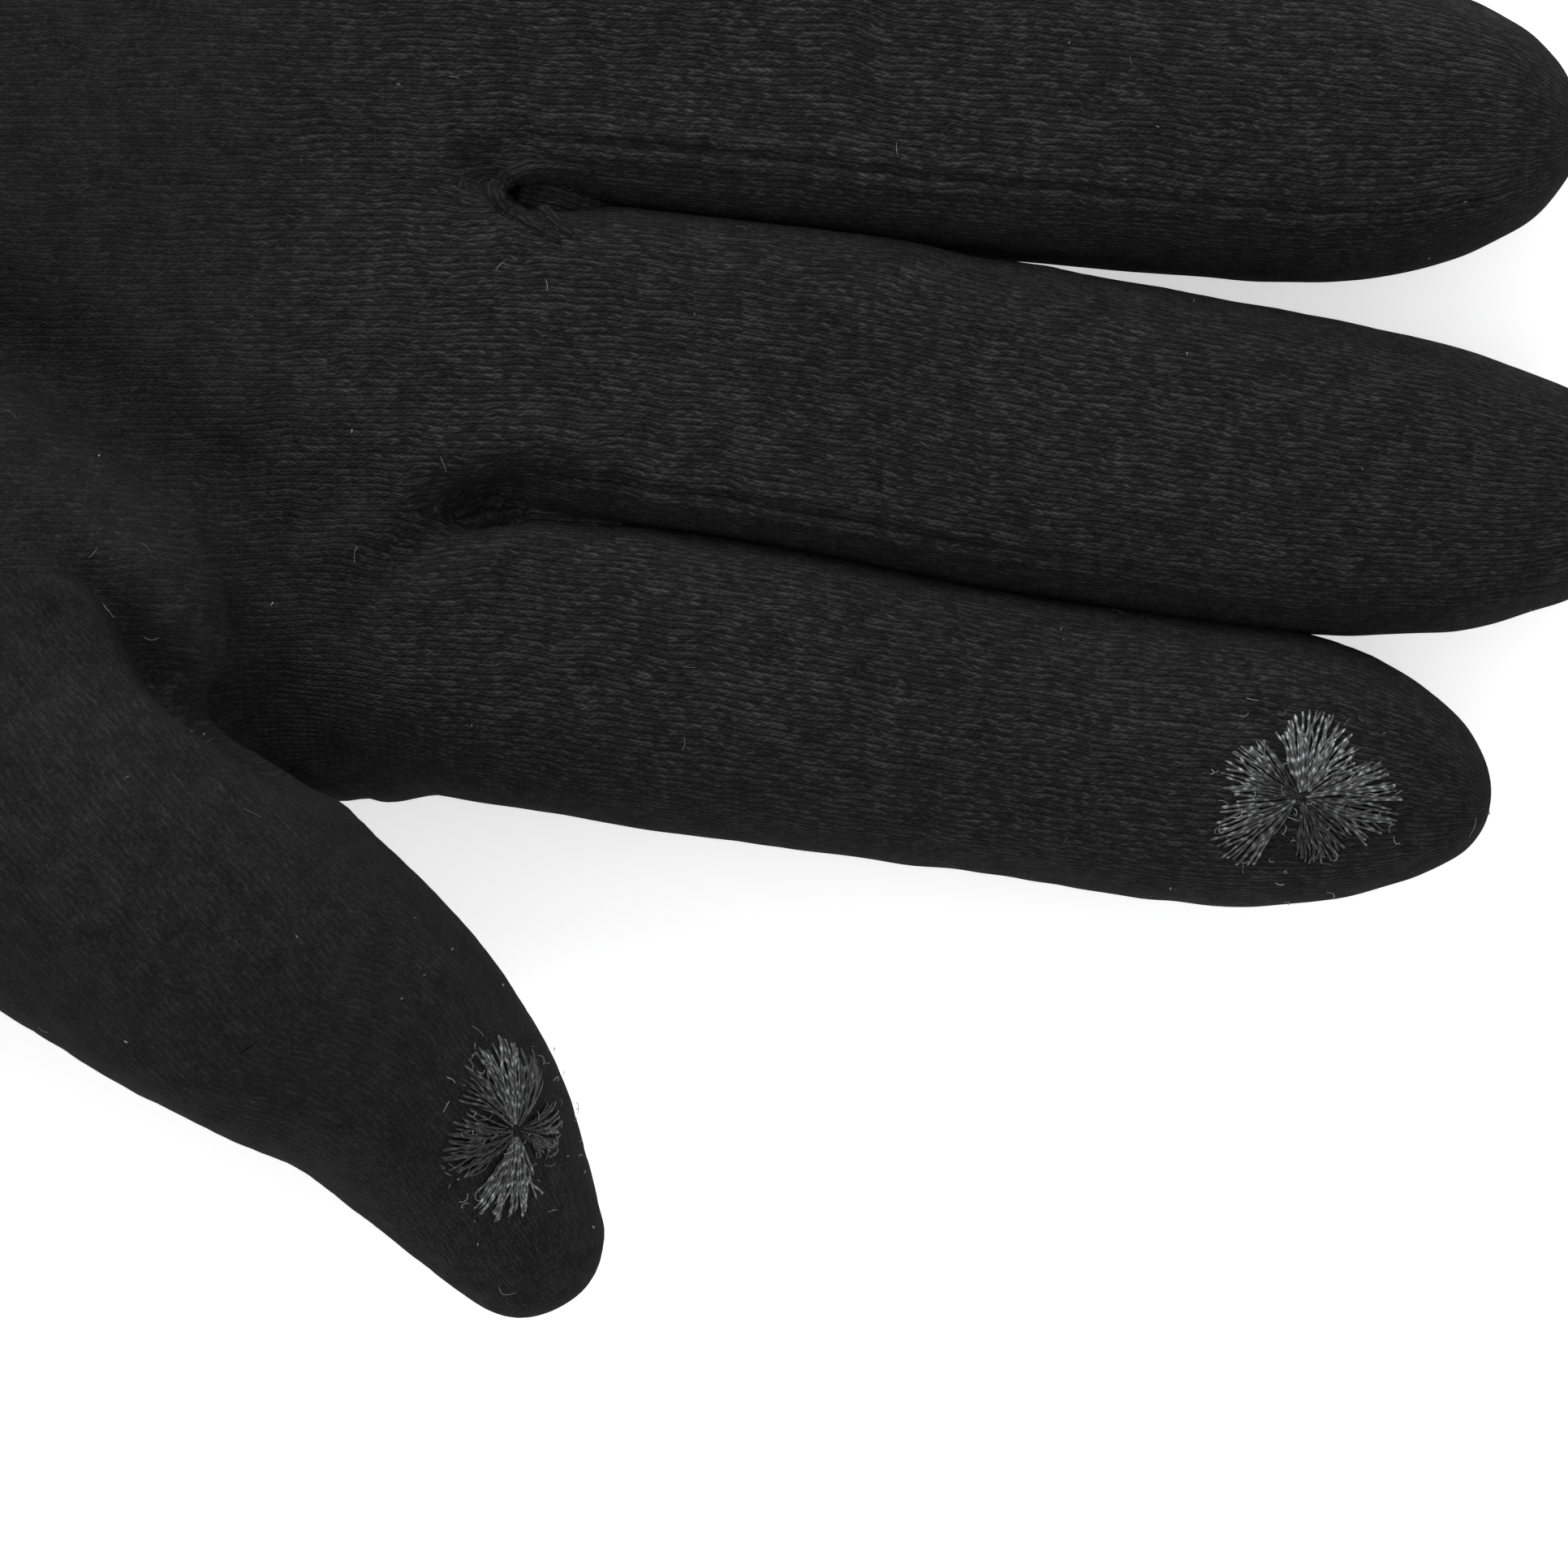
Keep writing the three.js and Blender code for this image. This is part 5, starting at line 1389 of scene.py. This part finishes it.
# ------------------------------------------------------------------ conductive embroidery
def flower(name, mesh, centre, normal, node_name, body, seed, angles, radii, shades, halves, dark, shaded_half, squeeze=1.0):
    """Five petals of satin stitch worked into the cloth: threads fan out from the middle of the flower, with light
    and shade painted on them.
    """
    V, N, T = mesh
    rng = np.random.default_rng(seed)
    used = np.unique(T)
    bvh = BVHTree.FromPolygons([Vector(v) for v in V], [tuple(int(i) for i in t) for t in T])
    n = np.array(normal, float); n /= np.linalg.norm(n)
    ex = np.cross([0, 1.0, 0], n); ex /= np.linalg.norm(ex)
    ex = np.array([1.0, 0, 0]) - n * n[0]; ex /= np.linalg.norm(ex)
    ey = np.cross(n, ex)
    c0 = np.array(centre, float)

    def on_surface(a, b):
        o = c0 + ex * a + ey * b + n * 12
        hit = bvh.ray_cast(Vector(o), Vector(-n), 30)
        if hit[0] is None:
            return None
        return np.array(hit[0]), np.array(hit[1])
    parts = []
    radius = max(radii)
    for layer in range(2):
        for p, ang in enumerate(angles):
            half = halves[p]
            count = int(half * (0.82 if layer == 0 else 0.6))
            for k in range(count):
                d = (k + 0.5 * layer + rng.uniform(-0.35, 0.35)) / count * 2 - 1
                lobe = max(math.cos(min(abs(d), 1.0) * 1.32), 0.02) ** 0.55
                rr = radii[p] * (0.55 + 0.45 * lobe) * rng.uniform(0.90, 1.05) * (1.0 if layer == 0 else rng.uniform(0.55, 0.95))
                r0 = (0.45, 1.6, 0.9, 2.3)[(k + layer) % 4] + rng.uniform(-0.15, 0.3)
                if rr - r0 < 0.9:
                    continue
                phi0 = math.radians(ang + d * half * 0.95 + rng.normal(0, 1.6))
                curl = rng.normal(0, 0.035)
                path = []
                steps = 34
                beat = rng.uniform(0, 2 * math.pi)
                for q in range(steps):
                    w = q / (steps - 1)
                    r = r0 + (rr - r0) * w
                    phi = phi0 + math.radians(d * 6.0) * (w - 0.5) + curl * math.sin(w * math.pi * 1.5)
                    hit = on_surface(r * math.cos(phi) * squeeze, r * math.sin(phi))
                    if hit is None:
                        path = []
                        break
                    arch = math.sin(math.pi * min(max(w, 0.0), 1.0)) ** 0.5
                    lift = -0.10 + (0.24 + 0.12 * layer) * arch + 0.10 * gauss((abs(d)) / 0.8) * arch + rng.uniform(-0.02, 0.02)
                    path.append(hit[0] + hit[1] * lift)
                if not path:
                    continue
                length = rr - r0
                ws = np.linspace(0, 1, steps)
                twist = np.sin(ws * length / 0.62 * 2 * math.pi + beat)
                # painted highlight: glints in short bright dashes along each thread, stronger in places
                glint = np.maximum(np.sin(ws * length / 0.83 * 2 * math.pi + beat * 2), 0) ** 1.6
                glint = glint * np.interp(ws, np.linspace(0, 1, 6), rng.uniform(0.15, 1.25, 6))
                tv, tn, tf = tube(path, 0.088 * rng.uniform(0.8, 1.2) * (1 + 0.18 * twist), 6)
                # painted light and shade: each petal gets its own brightness and one half of a petal can be painted
                # dimmer, as the light falls on its threads; the threads are also darker towards the flower's middle
                sh = shades[p] * rng.uniform(0.6, 1.3)
                part = (r0 + length * ws) / radii[p]
                prof = 1 - dark[p] * (1 - np.array([smooth01((v - 0.38) / 0.36) for v in part]))
                side = 1 - shaded_half[p] * smooth01((d + 0.15) / 0.5) if shaded_half[p] > 0 else 1 + shaded_half[p] * 0.5 * (1 - d)
                paint = sh * side * prof * (0.30 + 1.75 * glint)
                parts.append((tv, tn, tf, {"grain": np.zeros((len(tv), 3)), "shade": np.concatenate([np.repeat(paint, 6), [paint[0], paint[-1]]])}))
    # fluff and broken filaments over and around the petals
    for k in range(64):
        rr, phi = radius * rng.uniform(0.1, 1.05), rng.uniform(0, 2 * math.pi)
        a0, b0 = rr * math.cos(phi), rr * math.sin(phi)
        L, turn, coil = rng.uniform(0.2, 0.95), rng.uniform(0, 2 * math.pi), rng.normal(0, 2.2)
        path = []
        a1, b1 = a0, b0
        for w in np.linspace(0, 1, 9):
            hit = on_surface(a1, b1)
            if hit is None:
                path = []
                break
            path.append(hit[0] + hit[1] * (0.24 + 0.14 * math.sin(math.pi * w)))
            a1 += L / 8 * math.cos(turn + coil * w)
            b1 += L / 8 * math.sin(turn + coil * w)
        if path:
            tv, tn, tf = tube(path, rng.uniform(0.012, 0.024), 4)
            parts.append((tv, tn, tf, {"grain": np.zeros((len(tv), 3)), "shade": np.full(len(tv), rng.uniform(0.7, 2.2))}))
    W, NN, F, attrs = merge(parts)
    ob = make(name, W, NN, F, attrs, THREAD)
    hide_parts(node_name)
    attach(ob, body)
    return ob


# per petal: direction, length, painted brightness, half width in degrees, darkening towards the middle, painted shade
# over one half
flower("flower_index", FINGER_MESH["index"], (88.6, -20.2, 14.0), (0.0, 0.0, 1.0), "index_conductive_pad", "index_tip", 71,
       (72, 0, -61, -149, 152), (5.6, 6.4, 4.4, 6.2, 5.2), (1.35, 0.95, 0.22, 0.85, 0.95), (37, 33, 34, 25, 31), (0.2, 0.35, 0.2, 0.45, 0.78), (0, -0.35, 0, 0, 0))
flower("flower_thumb", (TV, TN, np.vstack([T1, T2])), (38.0, -40.3, 21.6), (0.4545, -0.2013, 0.8677), "thumb_conductive_pad", "thumb_tip", 72,
       (112, 70, -15, -94, -172), (6.2, 4.8, 4.0, 6.4, 5.1), (1.25, 0.30, 0.13, 1.1, 0.24), (31, 22, 34, 27, 35), (0.1, 0.2, 0.3, 0.25, 0.7), (0.75, 0, 0, 0, 0))


# ------------------------------------------------------------------ the rolled seam round the foot of a gap
def rolled_seam(points, radius, casts, seed, fill=False):
    """A turned seam standing proud of the palm: a soft roll of cloth along points (x, y), thinning to its ends."""
    path = catmull([(x, y, 0.0) for x, y in points], 14)
    out = []

    def height(px, py):
        best = None
        for c in casts:
            hit = c.ray_cast(Vector((px, py, 45.0)), Vector((0, 0, -1)), 60)
            if hit[0] is not None and (best is None or hit[0][2] > best):
                best = hit[0][2]
        return best
    for p in path:
        if fill:       # a strip that closes the bottom of a gap, below the cloth on either side of it
            sides = [height(p[0], p[1] + 1.7), height(p[0], p[1] - 1.7)]
            w = len(out) / (len(path) - 1)
            best = None if None in sides else min(sides) - 0.75 - radius - 1.6 * smooth01((w - 0.40) / 0.60)
        else:
            best = height(p[0], p[1])
        if best is None:
            return []
        out.append((p[0], p[1], best))
    out = np.array(out)
    z = out[:, 2]
    for _ in range(30):
        z = np.convolve(np.pad(z, 1, mode="edge"), [0.25, 0.5, 0.25], mode="valid")
    if not fill:
        z = np.maximum(z, out[:, 2] - 0.3)
    for _ in range(6):
        z = np.convolve(np.pad(z, 1, mode="edge"), [0.25, 0.5, 0.25], mode="valid")
    k = len(out)
    w = np.linspace(0, 1, k)
    thick = radius * ((0.75 if fill else 0.35) + (0.25 if fill else 0.65) * np.sin(np.pi * np.clip(w, 0, 1)) ** 0.6)
    step = np.linalg.norm(np.diff(out, axis=0), axis=1)
    arc = np.concatenate([[0], np.cumsum(step)])
    thick = thick * (1 + 0.07 * np.sin(arc * 2 * np.pi / 0.95) + 0.03 * np.sin(arc * 2 * np.pi / 0.41 + 1))
    out[:, 2] = z - thick * 0.12
    tv, tn, tf = tube(out, thick, 18)
    ang = np.tile(np.arange(18) * 2 * np.pi / 18, k)
    u = np.repeat(arc, 18)
    g = np.stack([u * 1.0, ang * radius, np.zeros(len(u))], 1)
    g = np.vstack([g, g[:1], g[-1:]])
    return [(tv, vertex_normals(tv, tf), tf, {"grain": g, "lint": np.zeros(len(tv)), "shade": np.full(len(tv), 1.0)})]


def caster(V, T):
    used = np.unique(T)
    remap = np.full(len(V), -1); remap[used] = np.arange(len(used))
    return BVHTree.FromPolygons([Vector(v) for v in V[used]], [tuple(int(i) for i in t) for t in remap[T]])


HPV, HPT = hand["palm_panel"][0], hand["palm_panel"][2]
near_crotch = HPV[HPT][:, :, 0].min(1) > 28
palm_cast = caster(HPV, HPT[near_crotch])
finger_cast = {n: caster(FINGER_MESH[n][0], FINGER_MESH[n][2]) for n in NAMES}
ROLLS = {
    ("middle", "ring"): [
        ([(43.6, 19.3), (42.2, 19.45), (40.6, 19.5), (38.9, 19.2), (37.8, 18.5), (37.5, 17.8), (38.0, 16.9), (39.1, 16.1), (40.3, 15.4), (41.6, 14.8)], 0.66),
        ([(39.2, 18.0), (39.9, 17.4), (40.7, 16.6), (41.5, 15.8), (42.4, 15.2)], 0.55),
        ([(39.0, 18.1), (41.0, 17.7), (43.0, 17.2), (45.2, 16.8)], 1.35),
    ],
    ("index", "middle"): [
        ([(37.4, -2.9), (39.2, -2.6), (41.6, -2.5), (45.4, -2.8)], 1.35),
    ],
}
for (a, b), parts in crotch_parts.items():
    merged = []
    for V, N, T, A in parts:
        W, NN, F, used = closed_shell(V, N, T)
        merged.append((W, NN, F, {k: np.concatenate([x[used], x[used]]) for k, x in A.items()}))
    if (a, b) in ROLLS:
        for k, (points, radius) in enumerate(ROLLS[(a, b)]):
            merged += rolled_seam(points, radius, [palm_cast, finger_cast[a], finger_cast[b]], 5 + k, radius > 0.9)
    W, NN, F, attrs = merge(merged)
    nodename = f"fourchette_crotch_{a}_{b}"
    ob = make("glove_" + nodename, W, NN, F, attrs, FOURCHETTE)
    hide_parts(nodename)
    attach(ob, "hand")


# ------------------------------------------------------------------ cuff: hem, elastic and label
def hand_ring(x, inset, count, P=None):
    """Points round the hand at x, inset from the cloth's outside."""
    th = np.linspace(0, 2 * np.pi, count, endpoint=False)
    n = 2.6
    lo, hi, top = hand_r(x), hand_l(x), hand_t(x)
    c, w = (lo + hi) / 2, (hi - lo) / 2
    zc, h = (top + 0.05) / 2, (top - 0.05) / 2
    cs, sn = np.cos(th), np.sin(th)
    y = c + (w - inset) * np.sign(cs) * np.abs(cs) ** (2 / n)
    z = zc + (h - inset) * np.sign(sn) * np.abs(sn) ** (2 / n)
    return np.stack([np.full(count, float(x)), y, z], 1)


def swept(profile, count, wobble):
    """A closed ring: profile is a loop of (x, inset) points."""
    rings = []
    for x, ins in profile:
        R = hand_ring(x, ins, count)
        rings.append(R)
    R = np.array(rings)
    cen = R.mean(1, keepdims=True)
    out = R - cen
    out[..., 0] = 0
    out /= np.maximum(np.linalg.norm(out, axis=2), 1e-9)[..., None]
    R = R + out * wobble(R)[..., None]
    k = len(profile)
    i = np.arange(k)[:, None]; j = np.arange(count)[None, :]
    a, b = i * count + j, i * count + (j + 1) % count
    c_, d_ = ((i + 1) % k) * count + (j + 1) % count, ((i + 1) % k) * count + j
    q = np.stack([a, b, c_, d_], -1).reshape(-1, 4)
    F = np.vstack([q[:, [0, 1, 2]], q[:, [0, 2, 3]]])
    V = R.reshape(-1, 3)
    vol = (V[F[:, 0]] * np.cross(V[F[:, 1]], V[F[:, 2]])).sum()
    if vol < 0:
        F = F[:, ::-1]
    N = vertex_normals(V, F)
    arc = np.concatenate([[0], np.cumsum(np.linalg.norm(np.diff(R[0], axis=0), axis=1))])
    g = np.stack([R[..., 0].ravel(), np.broadcast_to(arc[None], (k, count)).ravel(), np.zeros(k * count)], 1)
    return V, N, F, {"grain": g, "lint": np.zeros(len(V)), "shade": np.ones(len(V))}


lip = [(-112.44, 0.03), (-112.62, 0.06), (-112.84, 0.22), (-112.98, 0.55), (-113.02, 0.95), (-112.97, 1.35), (-112.82, 1.75), (-112.55, 2.0), (-112.0, 2.1)]
inner = [(-112.0 + 15.5 * t, 2.1) for t in np.linspace(0.08, 1, 14)] + [(-96.4, 1.7), (-96.5, 1.3)] + [(-96.5 - 15.7 * t, 1.3) for t in np.linspace(0.08, 1, 14)] + [(-112.42, 1.1), (-112.44, 0.6)]
hem = [swept(lip + inner, 360, lambda R: 0.9 * folds(R) * 0 + 0.10 * BROAD(R))]
surface = bpy.data.objects["glove_palm_panel"], bpy.data.objects["glove_back_panel"]
HV = hand["palm_panel"][0]
HT = np.vstack([hand["palm_panel"][2], hand["back_panel"][2]])
sel = (HV[HT][:, :, 0].min(1) < -38)
hand_bvh = BVHTree.FromPolygons([Vector(v) for v in HV], [tuple(int(i) for i in t) for t in HT[sel]])


def stitch_row(x, length, gap, radius, slant=0.0, seed=0):
    """A row of machine stitches round the cuff at x."""
    rng = np.random.default_rng(seed)
    ring = hand_ring(x, 0, 720)
    d = np.linalg.norm(np.diff(np.vstack([ring, ring[:1]]), axis=0), axis=1)
    arc = np.concatenate([[0], np.cumsum(d)])
    total = arc[-1]
    number = int(total / (length + gap))
    parts = []
    close = np.vstack([ring, ring[:1]])
    for k in range(number):
        a0 = k * total / number
        path = []
        for w in np.linspace(0, 1, 6):
            a = (a0 + w * length) % total
            p = np.array([np.interp(a, arc, close[:, i]) for i in range(3)])
            p[0] += slant * (w - 0.5) * (1 if k % 2 else -1)
            cen = np.array([p[0], 9.0, 13.3])
            dirn = p - cen; dirn[0] = 0; dirn /= np.linalg.norm(dirn)
            hit = hand_bvh.ray_cast(Vector(p + dirn * 6), Vector(-dirn), 14)
            if hit[0] is None:
                path = []
                break
            lift = 0.10 * math.sin(math.pi * w) - 0.07 + 0.05
            path.append(np.array(hit[0]) + dirn * lift)
        if path:
            tv, tn, tf = tube(path, radius, 6)
            parts.append((tv, tn, tf, {"grain": tv * np.array([1, 1, 0]), "lint": np.full(len(tv), 0.05), "shade": np.full(len(tv), 1.4)}))
    return parts


hem += stitch_row(-98.3, 2.3, 0.55, 0.15, 0.0, 5)
W, NN, F, attrs = merge(hem)
ob = make("glove_cuff_hem", W, NN, F, attrs, KNIT)
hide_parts("cuff_hem"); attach(ob, "hand")

band = [(-54 + 6 * t, 1.3) for t in np.linspace(0, 1, 9)] + [(-48 - 6 * t, 2.1) for t in np.linspace(0, 1, 9)]
elastic = [swept(band, 300, lambda R: -0.25 + 0.22 * np.sin(R[..., 1] * 2 * np.pi / 3.6 + R[..., 2] * 0.9))]
elastic += stitch_row(-51.0, 2.0, 0.7, 0.13, 2.4, 6)
W, NN, F, attrs = merge(elastic)
ob = make("glove_wrist_elastic", W, NN, F, {k: attrs[k] for k in attrs}, ELASTIC)
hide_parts("wrist_elastic"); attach(ob, "hand")

# the care label, a small blank ribbon sewn inside the side seam
lx = np.linspace(-92, -80, 13); lz = np.linspace(7.6, 17.4, 11)
X, Z = np.meshgrid(lx, lz, indexing="ij")
Y = 38.85 + SHIFT[1] + 0.12 * np.sin((X + 92) / 12 * np.pi) - 0.10 * np.sin((Z - 7.6) / 9.8 * np.pi * 1.5) - 0.25
LV = np.stack([X, Y, Z], -1).reshape(-1, 3)
ii, jj = np.meshgrid(np.arange(12), np.arange(10), indexing="ij")
q = np.stack([ii * 11 + jj, (ii + 1) * 11 + jj, (ii + 1) * 11 + jj + 1, ii * 11 + jj + 1], -1).reshape(-1, 4)
LT = np.vstack([q[:, [0, 1, 2]], q[:, [0, 2, 3]]])
LN = vertex_normals(LV, LT)
W, NN, F, used = closed_shell(LV, LN, LT, 0.3)
gl = np.stack([LV[:, 0], LV[:, 2], LV[:, 1] * 0], 1)
ob = make("glove_care_label", W, NN, F, {"grain": np.vstack([gl, gl]), "lint": np.zeros(len(W)), "shade": np.ones(len(W))}, LABEL)
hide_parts("care_label"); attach(ob, "hand")

# ------------------------------------------------------------------ floor, light and camera
scene = bpy.context.scene
fm = bpy.data.materials.new("floor")
fm.use_nodes = True
fb = fm.node_tree.nodes["Principled BSDF"]
fb.inputs["Base Color"].default_value = (0.93, 0.93, 0.93, 1)
fb.inputs["Roughness"].default_value = 0.9
fb.inputs["Emission Color"].default_value = (1, 1, 1, 1)
fb.inputs["Emission Strength"].default_value = 0.55
bpy.ops.mesh.primitive_plane_add(size=6, location=(0, 0, -0.0004))
floor = bpy.context.object
floor.name = "floor"
floor.data.materials.append(fm)

world = bpy.data.worlds.new("studio")
world.use_nodes = True
world.node_tree.nodes["Background"].inputs["Color"].default_value = (1.0, 1.0, 1.0, 1)
world.node_tree.nodes["Background"].inputs["Strength"].default_value = 0.72
scene.world = world


def area(name, loc, target, size, power, colour=(1, 1, 1)):
    li = bpy.data.lights.new(name, "AREA")
    li.shape = "RECTANGLE"; li.size = size[0]; li.size_y = size[1]
    li.energy = power; li.color = colour
    o = bpy.data.objects.new(name, li)
    o.location = loc
    o.rotation_euler = (Vector(target) - Vector(loc)).to_track_quat("-Z", "Y").to_euler()
    scene.collection.objects.link(o)
    return o


area("key", (-0.20, 0.48, 0.42), (0.04, 0.0, 0.01), (0.4, 0.4), 4.0)
area("fill", (0.6, -0.3, 0.6), (0.04, 0.0, 0.01), (0.7, 0.7), 0.8)

cam = bpy.data.cameras.new("camera")
cam.sensor_width = 36
cam.lens = 36 * 340 / 101.684
cam.clip_start = 0.01
co = bpy.data.objects.new("camera", cam)
co.location = (0.05573, -0.01932, 0.349)
co.rotation_euler = (0, 0, 0)
scene.collection.objects.link(co)
scene.camera = co
scene.view_settings.view_transform = "Standard"
